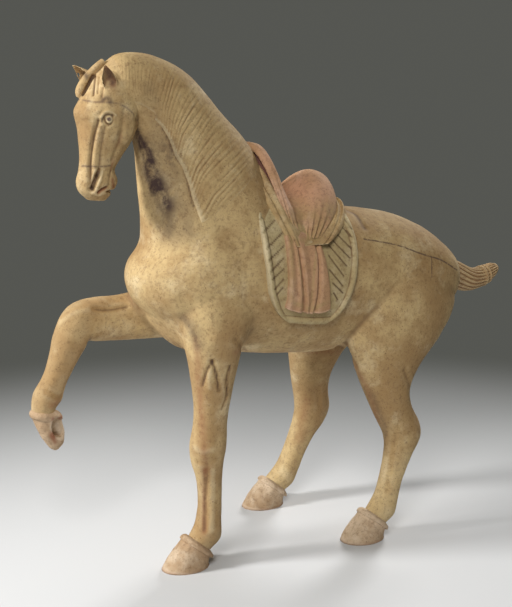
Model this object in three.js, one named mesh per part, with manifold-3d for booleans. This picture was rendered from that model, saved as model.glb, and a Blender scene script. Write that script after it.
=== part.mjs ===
// Pottery figure of a saddled horse, stepping out with its right foreleg raised. One fired piece.
// Millimetres, +Z up, the floor at z = 0, -X ahead of the horse and -Y to its left.
import * as THREE from "three";
import { mergeVertices } from "three/addons/utils/BufferGeometryUtils.js";
import Module from "manifold-3d";

const library = await Module();
library.setup();

// Driving sizes
const TORSO_RINGS = 21;
const TORSO_SIDES = 24;
const BREAST_SIDES = 20;
const LEG_RINGS = 14;
const LEG_SIDES = 12;
const HEAD_RINGS = 18;
const HEAD_SIDES = 16;
const HOOF_SIDES = 12;

// The clay body: colour, roughness and metalness of unglazed earthenware with a buff slip.
const CLAY = { color: 0xb9986a, roughness: 0.85, metalness: 0.0 };

// A station is one cross-section. heading is the way the form runs there, in degrees in the XZ plane
// from +X towards +Z. under reaches to the belly, throat, jaw or back of the leg, over the other way,
// and side is the half width. power is the section's roundness, 2 for an ellipse.

// From the buttocks to the breast.
const TORSO = [
  { x: 225, z: 285, heading: 180, over: 8, under: 11, side: 12 },
  { x: 217, z: 286, heading: 180, over: 25, under: 33, side: 34 },
  { x: 198, z: 290, heading: 180, over: 39, under: 50, side: 54 },
  { x: 165, z: 295, heading: 180, over: 56, under: 62, side: 67 },
  { x: 125, z: 298, heading: 180, over: 68, under: 72, side: 73 },
  { x: 80, z: 297, heading: 180, over: 77, under: 80, side: 74 },
  { x: 30, z: 295, heading: 180, over: 85, under: 84, side: 76 },
  { x: -20, z: 296, heading: 180, over: 92, under: 81, side: 77 },
  { x: -65, z: 300, heading: 180, over: 122, under: 79, side: 77, power: 1.8 },
  { x: -110, z: 304, heading: 180, over: 118, under: 76, side: 75, power: 1.8 },
  { x: -150, z: 306, heading: 180, over: 90, under: 69, side: 67, power: 1.9 },
  { x: -173, z: 307, heading: 180, over: 50, under: 44, side: 46 },
  { x: -184, z: 307, heading: 180, over: 26, under: 24, side: 26 },
  { x: -189, z: 307, heading: 180, over: 4, under: 4, side: 4 },
];

// From the brisket up the front of the chest into the throat. under is the front.
const BREAST = [
  { x: -120, z: 251, heading: 90, over: 30, under: 25, side: 36 },
  { x: -118, z: 262, heading: 90, over: 34, under: 46, side: 55 },
  { x: -116, z: 277, heading: 90, over: 40, under: 66, side: 69 },
  { x: -115, z: 295, heading: 90, over: 45, under: 82, side: 75 },
  { x: -115, z: 314, heading: 90, over: 45, under: 88, side: 75.5 },
  { x: -116, z: 331, heading: 90, over: 45, under: 83, side: 73.5 },
  { x: -117, z: 343, heading: 90, over: 42, under: 72, side: 70 },
  { x: -119, z: 357, heading: 90, over: 40, under: 65, side: 65 },
  { x: -122, z: 380, heading: 90, over: 38, under: 63, side: 58 },
  { x: -125, z: 404, heading: 90, over: 36, under: 63, side: 50 },
  { x: -128, z: 428, heading: 90, over: 32, under: 63, side: 41 },
  { x: -130, z: 446, heading: 90, over: 28, under: 61, side: 33 },
];

// From the withers up to the poll. over is the crest.
const NECK = [
  { x: -78, z: 272, heading: 114, over: 40, under: 74, side: 68 },
  { x: -90, z: 318, heading: 114, over: 55, under: 98, side: 77 },
  { x: -102, z: 364, heading: 118, over: 70, under: 89, side: 67 },
  { x: -124, z: 404, heading: 125, over: 76, under: 72, side: 54 },
  { x: -145, z: 442, heading: 135, over: 66, under: 61, side: 42 },
  { x: -163, z: 483, heading: 148, over: 52, under: 52, side: 34 },
  { x: -187, z: 509, heading: 164, over: 38.5, under: 38, side: 29 },
  { x: -212, z: 515, heading: 180, over: 32, under: 30, side: 25 },
  { x: -229, z: 512, heading: 192, over: 20, under: 20, side: 18 },
];

// From the poll down the face to the lips. over is the face, under the jaw.
const HEAD = [
  { x: -218, z: 533, heading: 262, over: 13, under: 14, side: 15 },
  { x: -220, z: 525, heading: 263, over: 20, under: 24, side: 22 },
  { x: -221, z: 512, heading: 265, over: 25, under: 31, side: 27 },
  { x: -222, z: 500, heading: 266, over: 31, under: 33, side: 29 },
  { x: -223, z: 489, heading: 266, over: 36, under: 33, side: 30 },
  { x: -225, z: 476, heading: 267, over: 31, under: 31, side: 28.5 },
  { x: -229, z: 460, heading: 268, over: 26, under: 28, side: 22 },
  { x: -233, z: 445, heading: 268, over: 22, under: 21, side: 17 },
  { x: -236, z: 433, heading: 268, over: 20.5, under: 17, side: 15 },
  { x: -238, z: 422, heading: 267, over: 22.5, under: 22, side: 16.5 },
  { x: -240, z: 411.5, heading: 266, over: 18.5, under: 18, side: 15.5 },
  { x: -240, z: 402.5, heading: 266, over: 8, under: 10, side: 10 },
];

const LEFT_FORELEG = [
  { x: -120, y: -36, z: 330, heading: 270, over: 46, under: 50, side: 35 },
  { x: -124, y: -42, z: 288, heading: 270, over: 44, under: 48, side: 35.5 },
  { x: -128, y: -45, z: 260, heading: 270, over: 36, under: 38, side: 33 },
  { x: -130, y: -46, z: 238, heading: 270, over: 30, under: 30, side: 28 },
  { x: -131, y: -45, z: 212, heading: 270, over: 24, under: 25, side: 23 },
  { x: -131, y: -43, z: 182, heading: 270, over: 20, under: 20, side: 19 },
  { x: -131, y: -41, z: 158, heading: 270, over: 20, under: 18, side: 18 },
  { x: -132, y: -40, z: 136, heading: 270, over: 23, under: 18, side: 19 },
  { x: -133, y: -39, z: 117, heading: 270, over: 20, under: 16, side: 17 },
  { x: -132, y: -38, z: 96, heading: 270, over: 14.5, under: 14, side: 14 },
  { x: -131, y: -37, z: 68, heading: 268, over: 13.5, under: 13, side: 13.5 },
  { x: -133, y: -37, z: 48, heading: 260, over: 14, under: 14, side: 14.5 },
  { x: -136, y: -37, z: 35, heading: 248, over: 15, under: 18, side: 16 },
  { x: -142, y: -37, z: 26, heading: 234, over: 15, under: 14, side: 15 },
  { x: -148, y: -37, z: 20, heading: 233, over: 13, under: 13, side: 14 },
];

const LEFT_HINDLEG = [
  { x: 134, y: -24, z: 326, heading: 250, over: 44, under: 56, side: 34 },
  { x: 124, y: -36, z: 288, heading: 250, over: 66, under: 82, side: 42 },
  { x: 106, y: -46, z: 244, heading: 254, over: 66, under: 72, side: 37 },
  { x: 92, y: -55, z: 205, heading: 262, over: 46, under: 51, side: 28 },
  { x: 90, y: -60, z: 172, heading: 272, over: 30, under: 32, side: 22 },
  { x: 95, y: -63, z: 146, heading: 280, over: 23, under: 26, side: 19 },
  { x: 104, y: -66, z: 124, heading: 276, over: 22, under: 28, side: 17.5 },
  { x: 107, y: -67, z: 110, heading: 264, over: 22, under: 27, side: 17 },
  { x: 102, y: -69, z: 92, heading: 252, over: 18, under: 17, side: 15.5 },
  { x: 92, y: -71, z: 66, heading: 250, over: 15, under: 12.5, side: 14 },
  { x: 84, y: -73, z: 44, heading: 248, over: 15, under: 12.5, side: 14.5 },
  { x: 76, y: -74, z: 32, heading: 242, over: 15, under: 17, side: 16 },
  { x: 69, y: -74, z: 24, heading: 234, over: 15, under: 14, side: 15 },
  { x: 63, y: -74, z: 19, heading: 233, over: 13, under: 13, side: 14 },
];

const RIGHT_HINDLEG = [
  { x: 134, y: 24, z: 326, heading: 250, over: 44, under: 56, side: 34 },
  { x: 122, y: 36, z: 288, heading: 250, over: 66, under: 82, side: 42 },
  { x: 92, y: 46, z: 244, heading: 254, over: 58, under: 66, side: 37 },
  { x: 74, y: 56, z: 200, heading: 264, over: 40, under: 40, side: 28 },
  { x: 69, y: 61, z: 166, heading: 272, over: 29, under: 26, side: 22 },
  { x: 69, y: 64, z: 138, heading: 276, over: 23, under: 23, side: 18.5 },
  { x: 71, y: 66, z: 118, heading: 270, over: 22, under: 25, side: 17.5 },
  { x: 68, y: 68, z: 103, heading: 258, over: 20, under: 22, side: 16.5 },
  { x: 61, y: 70, z: 86, heading: 250, over: 17, under: 16, side: 15 },
  { x: 51, y: 73, z: 64, heading: 246, over: 13.5, under: 14, side: 14 },
  { x: 43, y: 74, z: 46, heading: 244, over: 13.5, under: 14, side: 14.5 },
  { x: 34, y: 75, z: 32, heading: 238, over: 14, under: 17, side: 16 },
  { x: 26, y: 75, z: 24, heading: 234, over: 15, under: 14, side: 15 },
  { x: 20, y: 75, z: 19, heading: 233, over: 13, under: 13, side: 14 },
];

// The raised leg: the forearm runs level to the knee, and the cannon hangs from it.
const RIGHT_FORELEG = [
  { x: -136, y: 40, z: 278, heading: 184, over: 28, under: 40, side: 30 },
  { x: -168, y: 46, z: 270, heading: 184, over: 25, under: 31, side: 26 },
  { x: -200, y: 47, z: 268, heading: 180, over: 23, under: 26, side: 22 },
  { x: -226, y: 46, z: 268, heading: 178, over: 24, under: 24, side: 20 },
  { x: -244, y: 45, z: 264, heading: 208, over: 23, under: 18, side: 20 },
  { x: -254, y: 45, z: 246, heading: 246, over: 20, under: 17, side: 18.5 },
  { x: -263, y: 45, z: 226, heading: 246, over: 16.5, under: 13, side: 16 },
  { x: -272, y: 45, z: 207, heading: 246, over: 14.5, under: 11.5, side: 14.5 },
  { x: -281, y: 45, z: 191, heading: 250, over: 16, under: 15, side: 15.5 },
  { x: -285, y: 45, z: 179, heading: 262, over: 14.5, under: 10, side: 15 },
  { x: -285, y: 45, z: 168, heading: 268, over: 13, under: 10, side: 13 },
];

// A hoof from the pastern down to the sole, measured from the middle of the sole.
const HOOF = [
  { x: 15, z: 25, heading: 230, over: 16, under: 18, side: 15 },
  { x: 14, z: 22.5, heading: 230, over: 19.5, under: 22, side: 19 },
  { x: 12, z: 19.5, heading: 232, over: 20.5, under: 22.5, side: 20 },
  { x: 11, z: 18, heading: 234, over: 19, under: 19.5, side: 18 },
  { x: 5, z: 9, heading: 250, over: 23, under: 21.5, side: 20 },
  { x: 0, z: 0, heading: 270, over: 28, under: 26, side: 21.5 },
];
const SOLES = {
  left_fore: { x: -161, y: -37 },
  left_hind: { x: 50, y: -74 },
  right_hind: { x: 7, y: 75 },
};

// From the tip to the dock.
const TAIL = [
  { x: 306, z: 282, heading: 200, over: 5, under: 5, side: 6 },
  { x: 299, z: 279, heading: 195, over: 9, under: 9, side: 10 },
  { x: 286, z: 274, heading: 190, over: 11, under: 12, side: 12 },
  { x: 264, z: 271, heading: 172, over: 14, under: 15, side: 14 },
  { x: 242, z: 277, heading: 160, over: 17, under: 17, side: 15 },
  { x: 216, z: 288, heading: 158, over: 18, under: 18, side: 16 },
  { x: 196, z: 296, heading: 158, over: 14, under: 14, side: 14 },
];

// The raised hoof's wall, from the pastern to the toe, and the ellipsoid that hollows its sole.
const RAISED_HOOF = [
  { x: -285, y: 45, z: 176, heading: 268, over: 13, under: 12, side: 13 },
  { x: -284, y: 45, z: 173, heading: 268, over: 17, under: 17, side: 17 },
  { x: -284, y: 45, z: 167, heading: 268, over: 17.5, under: 18, side: 17.5 },
  { x: -283, y: 45, z: 164, heading: 268, over: 15, under: 17, side: 16 },
  { x: -280, y: 44, z: 150, heading: 276, over: 12, under: 16, side: 14 },
  { x: -276, y: 43, z: 137, heading: 282, over: 8, under: 10, side: 9 },
  { x: -275, y: 43, z: 132, heading: 284, over: 3, under: 4, side: 4 },
];
const RAISED_SOLE = { x: -261, y: 27, z: 148, reach: [9, 6, 17], turn: [0, -18, -50] };

// Mane
const NECK_RINGS = 46;
const MANE_START = 0.3;
const MANE_END = 0.91;
const MANE_FADE = 0.05;
const MANE_ANGLE = 108;
const MANE_SWEEP = 0.12;
const MANE_RISE = 1.4;
const LOCK_DEPTH = 0.9;
const NECK_ANGLES = [0, 30, 60, 86, 105, 110, 145, 180, -145, -110, -105, -86, -60, -30];

// Head
const EAR = {
  base: { x: -228, y: 18, z: 514 },
  tips: [{ x: -237, y: -29, z: 537 }, { x: -248, y: 30, z: 535 }],
  reach: 10, thickness: 0.55, turn: 35, cup: 3.5, rim: 1.8, sides: 8, buried: 6,
};
const FORELOCK_RINGS = 8;
const FORELOCK_SIDES = 8;
const FORELOCK = [
  { x: -226, y: 1, z: 539, heading: 205, over: 4, under: 6, side: 5 },
  { x: -236, y: 2, z: 530, heading: 220, over: 5, under: 5, side: 5 },
  { x: -245, y: 3, z: 519, heading: 240, over: 6, under: 5, side: 5.5 },
  { x: -249, y: 4, z: 509, heading: 255, over: 5, under: 5, side: 5 },
  { x: -250, y: 4, z: 503, heading: 262, over: 2.5, under: 3, side: 3 },
];
const EYE = { x: -237, y: 23.5, z: 485 };
const BROW = { x: -240, y: 21.5, z: 492 };
const NOSTRIL = { x: -248, y: 15.5, z: 420 };
const MOUTH = { x: -231, y: 14, z: 411 };
const FACE_LINE_DEPTH = 1.8;
const FACE_LINES = [
  [{ x: -247, y: 21, z: 480 }, { x: -248, y: 13, z: 450 }],
  [{ x: -249, y: 12.5, z: 450 }, { x: -254, y: 11.5, z: 424 }],
];

// Saddle
const BLANKET = {
  middle: -27, lean: 8, half: 65, bottom: 115, roundness: 3.2, rise: 3.5, roll: 3, rim: 8,
};
const BLANKET_ANGLES = [0, 25, 45, 60, 75, 88, 98, 106, 111, 113.8, 114.7];
const HATCH = { count: 7, top: 42, bottom: 101, length: 22, slope: 12, rise: 2, depth: 2.4 };
const FLAP = { middle: -30, half: 25, top: 52, bottom: 105, rise: 6 };
const FLAP_ROWS = 8;
const FOLDS = [
  { top: 0, bottom: 0, rise: 1 },
  { top: 0.16, bottom: 0.26, rise: 2.5 },
  { top: 0.27, bottom: 0.41, rise: 0 },
  { top: 0.36, bottom: 0.47, rise: 2.5 },
  { top: 0.84, bottom: 0.57, rise: 2.5 },
  { top: 0.91, bottom: 0.63, rise: 0 },
  { top: 0.96, bottom: 0.72, rise: 2.5 },
  { top: 1, bottom: 1, rise: 1 },
];
const SADDLE_CORE = 320;
const SADDLE_COVER = {
  tops: [
    { x: -63, z: 450, p: 2.6 }, { x: -57, z: 454, p: 2.6 }, { x: -50, z: 449, p: 2.6 },
    { x: -38, z: 420, p: 2.5 }, { x: -24, z: 397, p: 2.4 }, { x: -10, z: 396, p: 2.2 },
    { x: 2, z: 408, p: 2.2 }, { x: 14, z: 418, p: 2.2 }, { x: 26, z: 419.5, p: 2.2 },
    { x: 37, z: 413, p: 2.2 }, { x: 45, z: 399, p: 2.2 }, { x: 48, z: 380, p: 2.2 },
  ],
  foot: { front: -43, rear: -8, y: 66, z: 354 },
  rings: 19,
  sides: 14,
  pleat: 1.8,
};
const SADDLE_HOLLOW = {
  tops: [{ x: -95, z: 425, p: 2.5 }, { x: -62, z: 443, p: 2.5 }, { x: -53, z: 441, p: 2.5 }],
  foot: { front: -90, rear: -36, y: 57, z: 352 },
  rings: 4,
  sides: 12,
};
const SADDLE_PAD = {
  tops: [
    { x: -79, z: 434, p: 2 }, { x: -75, z: 440, p: 2 }, { x: -71, z: 437, p: 2 }, { x: -66, z: 442, p: 2 },
    { x: -58, z: 436, p: 2 }, { x: -30, z: 400, p: 2 }, { x: 10, z: 385, p: 2 }, { x: 42, z: 386, p: 2 },
    { x: 48, z: 389, p: 2 }, { x: 52, z: 385, p: 2 }, { x: 56, z: 387, p: 2 }, { x: 61, z: 376, p: 2 },
  ],
  foot: { front: -50, rear: -3, y: 75, z: 348 },
  rings: 12,
  sides: 12,
};

const TAIL_RINGS = 10;
const TAIL_SIDES = 12;
const TAIL_FLUTE = 0.12;

// Shared geometry helpers

const radians = THREE.MathUtils.degToRad;
const { lerp, smoothstep } = THREE.MathUtils;

// Returns the point function of a form: t runs from its first station to its last, angle goes round
// the section in degrees, 0 over it and 90 on its left.
function form(stations, place = { x: 0, y: 0 }) {
  const spline = (pick) => new THREE.CatmullRomCurve3(stations.map(pick), false, "catmullrom", 0.5);
  const centres = spline((s) => new THREE.Vector3(s.x + place.x, (s.y ?? 0) + place.y, s.z));
  const reaches = spline((s) => new THREE.Vector3(s.over, s.under, s.side));
  const bearings = spline((s) => new THREE.Vector3(s.heading, s.power ?? 2, 0));
  return (t, angle) => {
    const reach = reaches.getPoint(t);
    const bearing = bearings.getPoint(t);
    const heading = radians(bearing.x);
    const share = 2 / bearing.y;
    const up = Math.cos(radians(angle));
    const out = Math.sin(radians(angle));
    const height = Math.sign(up) * Math.abs(up) ** share * (up > 0 ? reach.x : reach.y);
    const width = Math.sign(out) * Math.abs(out) ** share * reach.z;
    const centre = centres.getPoint(t);
    return centre.add(new THREE.Vector3(Math.sin(heading) * height, -width, -Math.cos(heading) * height));
  };
}

// Skins a grid of rings, each a closed loop of points, and closes both ends with a fan.
function skin(rings) {
  const sides = rings[0].length;
  const points = rings.flat();
  const index = [];
  for (let i = 0; i + 1 < rings.length; i += 1) {
    for (let j = 0; j < sides; j += 1) {
      const a = i * sides + j;
      const b = i * sides + ((j + 1) % sides);
      index.push(a, b, a + sides, b, b + sides, a + sides);
    }
  }
  for (const [ring, flip] of [[0, true], [rings.length - 1, false]]) {
    const middle = points.length;
    points.push(rings[ring].reduce((sum, p) => sum.add(p), new THREE.Vector3()).divideScalar(sides));
    for (let j = 0; j < sides; j += 1) {
      const a = ring * sides + j;
      const b = ring * sides + ((j + 1) % sides);
      index.push(...(flip ? [b, a, middle] : [a, b, middle]));
    }
  }
  const geometry = new THREE.BufferGeometry().setFromPoints(points);
  geometry.setIndex(index);
  return geometry;
}

// Samples a form into rings, evenly or only at its stations.
function ringsOf(point, count, sides) {
  const rings = [];
  for (let i = 0; i < count; i += 1) {
    const t = i / (count - 1);
    rings.push(Array.from({ length: sides }, (_, j) => point(t, (360 * j) / sides)));
  }
  return rings;
}

function signedVolume(positions, index) {
  let volume = 0;
  const [a, b, c] = [new THREE.Vector3(), new THREE.Vector3(), new THREE.Vector3()];
  for (let i = 0; i < index.length; i += 3) {
    a.fromArray(positions, 3 * index[i]);
    b.fromArray(positions, 3 * index[i + 1]);
    c.fromArray(positions, 3 * index[i + 2]);
    volume += a.dot(b.cross(c)) / 6;
  }
  return volume;
}

// Makes a closed geometry into a solid that can be joined and cut, with its faces turned outwards.
function solid(geometry) {
  const bare = geometry.clone();
  bare.deleteAttribute("normal");
  bare.deleteAttribute("uv");
  const merged = mergeVertices(bare, 1e-4);
  const vertProperties = Float32Array.from(merged.attributes.position.array);
  const triVerts = Uint32Array.from(merged.index.array);
  if (signedVolume(vertProperties, triVerts) < 0) {
    triVerts.reverse();
  }
  return new library.Manifold(new library.Mesh({ numProp: 3, vertProperties, triVerts }));
}

function geometryOf(manifold) {
  const { numProp, vertProperties, triVerts } = manifold.getMesh();
  const geometry = new THREE.BufferGeometry();
  geometry.setAttribute("position", new THREE.BufferAttribute(vertProperties, numProp));
  geometry.setIndex(new THREE.BufferAttribute(triVerts, 1));
  geometry.computeVertexNormals();
  return geometry;
}

const torso = form(TORSO);
const head = form(HEAD);

// Finds where a form crosses the plane at x, for a form whose centre line runs towards -X.
function crossing(point, x) {
  let [low, high] = [0, 1];
  for (let step = 0; step < 24; step += 1) {
    const middle = (low + high) / 2;
    const over = point(middle, 0).x;
    [low, high] = over > x ? [middle, high] : [low, middle];
  }
  return (low + high) / 2;
}

// A point on the barrel at x and angle, lifted off it by rise.
function onBarrel(x, angle, rise) {
  const t = crossing(torso, x);
  const step = 1;
  const here = torso(t, angle);
  const along = torso(crossing(torso, x + step), angle).sub(here);
  const round = torso(t, angle + step).sub(here);
  return here.add(along.cross(round).normalize().multiplyScalar(-rise));
}

// An ellipsoid, for the eyes, the brows and other small swellings or hollows.
function swelling({ x, y, z }, reach, turn = [0, 0, 0], sides = 12) {
  const geometry = new THREE.SphereGeometry(1, sides, Math.round(sides * 0.7));
  geometry.scale(...reach);
  geometry.rotateX(radians(turn[0])).rotateY(radians(turn[1])).rotateZ(radians(turn[2]));
  return solid(geometry.translate(x, y, z));
}

// The turn that brings +Y to a direction.
function turnTo(direction) {
  return new THREE.Quaternion().setFromUnitVectors(new THREE.Vector3(0, 1, 0), direction.clone().normalize());
}

// A slim bar between two points, which cuts an incised line.
function bar(from, to, radius, sides = 3) {
  const geometry = new THREE.CylinderGeometry(radius, radius, from.distanceTo(to), sides);
  geometry.applyQuaternion(turnTo(to.clone().sub(from)));
  return solid(geometry.translate(...from.clone().lerp(to, 0.5)));
}

const joined = (pieces) => pieces.reduce((whole, piece) => whole.add(piece));
const bothSides = (make) => [-1, 1].flatMap(make);

function makeBreast() {
  return solid(skin(ringsOf(form(BREAST), BREAST.length, BREAST_SIDES)));
}

// The neck's rings follow the combed locks of the mane: every second ring is a lock's crest.
function makeNeck() {
  const neck = form(NECK);
  const rings = [];
  for (let i = 0; i < NECK_RINGS; i += 1) {
    const t = i / (NECK_RINGS - 1);
    const combed = smoothstep(t, MANE_START, MANE_START + MANE_FADE)
      * (1 - smoothstep(t, MANE_END - MANE_FADE, MANE_END));
    rings.push(NECK_ANGLES.map((angle) => {
      const down = Math.min(1, Math.abs(angle) / MANE_ANGLE);
      const inMane = Math.abs(angle) < MANE_ANGLE ? combed : 0;
      const swept = Math.max(0, t - MANE_SWEEP * down ** 3 * Math.max(0, 1 - t / MANE_END) * combed);
      const lock = inMane * (MANE_RISE + (i % 2 ? LOCK_DEPTH : -LOCK_DEPTH) * lerp(0.4, 1, down));
      const here = neck(swept, angle);
      const core = neck(swept, 0).lerp(neck(swept, 180), 0.5);
      return here.clone().add(here.clone().sub(core).normalize().multiplyScalar(lock));
    }));
  }
  return solid(skin(rings));
}

function makeEar(side) {
  const { base, tips, reach, thickness, cup, rim, sides, buried } = EAR;
  const foot = new THREE.Vector3(base.x, side * base.y, base.z);
  const tip = side < 0 ? tips[0] : tips[1];
  const point = new THREE.Vector3(tip.x, tip.y, tip.z);
  const length = foot.distanceTo(point);
  const leaf = (less) => {
    const outline = [
      [0, -buried], [0.8 * reach, -buried * 0.7], [reach, 0.3 * length], [0.7 * reach, 0.65 * length],
    ];
    const profile = outline.map(([radius, along]) => new THREE.Vector2(Math.max(0, radius - less), along));
    profile.push(new THREE.Vector2(0, length - less));
    const geometry = new THREE.LatheGeometry(profile, sides).scale(thickness, 1, 1);
    geometry.rotateY(radians(side * EAR.turn));
    return geometry.applyQuaternion(turnTo(point.clone().sub(foot)));
  };
  const facing = new THREE.Vector3(Math.cos(radians(EAR.turn)), -side * Math.sin(radians(EAR.turn)), 0);
  const hollow = foot.clone().addScaledVector(facing, -cup);
  return solid(leaf(0).translate(...foot)).subtract(solid(leaf(rim).translate(...hollow)));
}

function makeForelock() {
  return solid(skin(ringsOf(form(FORELOCK), FORELOCK_RINGS, FORELOCK_SIDES)));
}

// Joins the brow, eyes and cheeks, then cuts the nostrils, the mouth and the lines down the face.
function makeHead() {
  const skull = solid(skin(ringsOf(head, HEAD_RINGS, HEAD_SIDES)));
  const raised = bothSides((side) => [
    swelling({ ...EYE, y: side * EYE.y }, [6, 4, 5.5], [0, 0, 0], 8),
    swelling({ ...BROW, y: side * BROW.y }, [10, 6, 4.5], [0, -20, 0], 8),
    makeEar(side),
  ]);
  const cuts = bothSides((side) => [
    swelling({ ...NOSTRIL, y: side * NOSTRIL.y }, [3.2, 4.5, 9], [0, 14, 0], 8),
    swelling({ ...MOUTH, y: side * MOUTH.y }, [9, 5, 2], [0, 12, 0], 8),
    ...FACE_LINES.map((ends) => {
      const [from, to] = ends.map(({ x, y, z }) => new THREE.Vector3(x, side * y, z));
      return bar(from, to, FACE_LINE_DEPTH);
    }),
  ]);
  return joined([skull, ...raised, makeForelock()]).subtract(joined(cuts));
}

// The half width of the saddle blanket, which hangs in a U on each side.
function blanketHalf(angle) {
  const drop = Math.abs(angle) / BLANKET.bottom;
  return BLANKET.half * (1 - drop ** BLANKET.roundness) ** (1 / BLANKET.roundness);
}

// Lays a sheet of cloth on the barrel as a closed slab: columns run along the horse, rows round it.
function slab(columns, rows, place) {
  const outer = rows.map((row) => columns.map((column) => place(column, row, true)));
  const inner = rows.map((row) => columns.map((column) => place(column, row, false)));
  return solid(skin(outer.map((line, i) => [...line, ...inner[i].reverse()])));
}

function makeBlanket() {
  const rows = [...BLANKET_ANGLES.slice(1).reverse().map((angle) => -angle), ...BLANKET_ANGLES];
  const step = 1.5;
  const place = (column, row, outside) => {
    const half = blanketHalf(row);
    const middle = BLANKET.middle + BLANKET.lean * Math.cos(radians(row));
    const inner = Math.max(half - BLANKET.rim, 4);
    const reach = [0, inner / 2, inner - step, inner, Math.max(half, inner + step)][Math.abs(column)];
    const onRim = Math.abs(column) > 2 || Math.abs(row) > BLANKET.bottom - BLANKET.rim * 0.8;
    const rise = onRim ? BLANKET.rise + BLANKET.roll : BLANKET.rise;
    return onBarrel(middle + Math.sign(column) * reach, row, outside ? rise : -BLANKET.rise);
  };
  return slab([-4, -3, -2, -1, 0, 1, 2, 3, 4], rows, place);
}

// The incised lines on the blanket's two panels, which slope towards its middle.
function makeHatching() {
  const lines = [];
  for (let i = 0; i < HATCH.count; i += 1) {
    const angle = lerp(HATCH.top, HATCH.bottom, i / (HATCH.count - 1));
    const outer = blanketHalf(angle) - BLANKET.rim - 1;
    const inner = Math.max(FLAP.half + 3, outer - HATCH.length);
    for (const way of [-1, 1]) {
      const middle = BLANKET.middle + BLANKET.lean * Math.cos(radians(angle));
      lines.push(...bothSides((side) => bar(
        onBarrel(middle + way * outer, side * (angle + HATCH.slope / 2), HATCH.rise),
        onBarrel(middle + way * inner, side * (angle - HATCH.slope / 2), HATCH.rise), HATCH.depth)));
    }
  }
  return joined(lines);
}

// A canopy of arches that fan out from a foot on each side over the seat's centre line.
function canopy({ tops, foot, rings, sides, pleat = 0 }) {
  const line = new THREE.CatmullRomCurve3(tops.map(({ x, z, p }) => new THREE.Vector3(x, p, z)));
  const hoops = [];
  for (let i = 0; i < rings; i += 1) {
    const t = i / (rings - 1);
    const top = line.getPoint(t);
    const footX = lerp(foot.front, foot.rear, t);
    const hoop = [];
    for (let j = 0; j <= sides; j += 1) {
      const out = -Math.cos((Math.PI * j) / sides);
      const up = 1 - Math.abs(out) ** top.y;
      const fold = pleat * (i % 2 ? 1 : -1) * (1 - up);
      hoop.push(new THREE.Vector3(
        lerp(footX, top.x, up ** 0.9), (foot.y + fold) * out, lerp(foot.z, top.z, up)));
    }
    hoop.push(new THREE.Vector3(footX, 20, SADDLE_CORE), new THREE.Vector3(footX, -20, SADDLE_CORE));
    hoops.push(hoop);
  }
  return solid(skin(hoops));
}

// The gathered band and the flap that hangs from it in folds.
function makeFlap(side) {
  const rows = Array.from({ length: FLAP_ROWS }, (_, i) => i / (FLAP_ROWS - 1));
  return slab(FOLDS, rows, (fold, row, outside) => {
    const half = lerp(FLAP.half * 0.78, FLAP.half, row);
    const column = 2 * lerp(fold.top, fold.bottom, row) - 1;
    const corner = Math.max(0, row - 0.8) * Math.abs(column) ** 3 * 14;
    const angle = side * (lerp(FLAP.top, FLAP.bottom, row) - corner);
    const rise = (FLAP.rise + fold.rise) * Math.min(1, 0.3 + 2.5 * row);
    return onBarrel(FLAP.middle + half * column, angle, outside ? rise : 0);
  });
}

function makeSaddle() {
  const cover = canopy(SADDLE_COVER).subtract(canopy(SADDLE_HOLLOW));
  return joined([cover, canopy(SADDLE_PAD), ...bothSides((side) => [makeFlap(side)])]);
}

// The tail is bound, so its strands run along it as flutes.
function makeTail() {
  const tail = form(TAIL);
  const rings = ringsOf(tail, TAIL_RINGS, TAIL_SIDES).map((ring) => {
    const middle = ring.reduce((sum, p) => sum.add(p), new THREE.Vector3()).divideScalar(ring.length);
    return ring.map((p, j) => p.clone().lerp(middle, j % 2 ? TAIL_FLUTE : 0));
  });
  return solid(skin(rings));
}

function makeHoof(place) {
  return solid(skin(ringsOf(form(HOOF, place), HOOF.length, HOOF_SIDES)));
}

// The raised hoof hangs toe down, its sole cut on a slant and hollowed.
function makeRaisedHoof() {
  const wall = solid(skin(ringsOf(form(RAISED_HOOF), RAISED_HOOF.length, HOOF_SIDES)));
  const { x, y, z } = RAISED_SOLE;
  return wall.subtract(swelling({ x, y, z }, RAISED_SOLE.reach, RAISED_SOLE.turn, 10));
}

function makeLeg(stations) {
  return solid(skin(ringsOf(form(stations), LEG_RINGS, LEG_SIDES)));
}

function makeHorse() {
  return joined([
    solid(skin(ringsOf(torso, TORSO_RINGS, TORSO_SIDES))),
    makeBreast(),
    makeNeck(),
    makeTail(),
    ...[LEFT_FORELEG, LEFT_HINDLEG, RIGHT_HINDLEG, RIGHT_FORELEG].map(makeLeg),
    ...Object.values(SOLES).map(makeHoof),
    makeRaisedHoof(),
    makeBlanket().subtract(makeHatching()),
    makeSaddle(),
    makeHead(),
  ]);
}

const part = new THREE.Group();
const horse = new THREE.Mesh(geometryOf(makeHorse()), new THREE.MeshStandardMaterial(CLAY));
horse.name = "horse_figure";
part.add(horse);

export default part;
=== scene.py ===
import logging
import math
from dataclasses import dataclass, field
from enum import Enum

import bmesh
import bpy
import numpy as np
from mathutils import Matrix, Vector, noise
from mathutils.bvhtree import BVHTree


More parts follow.
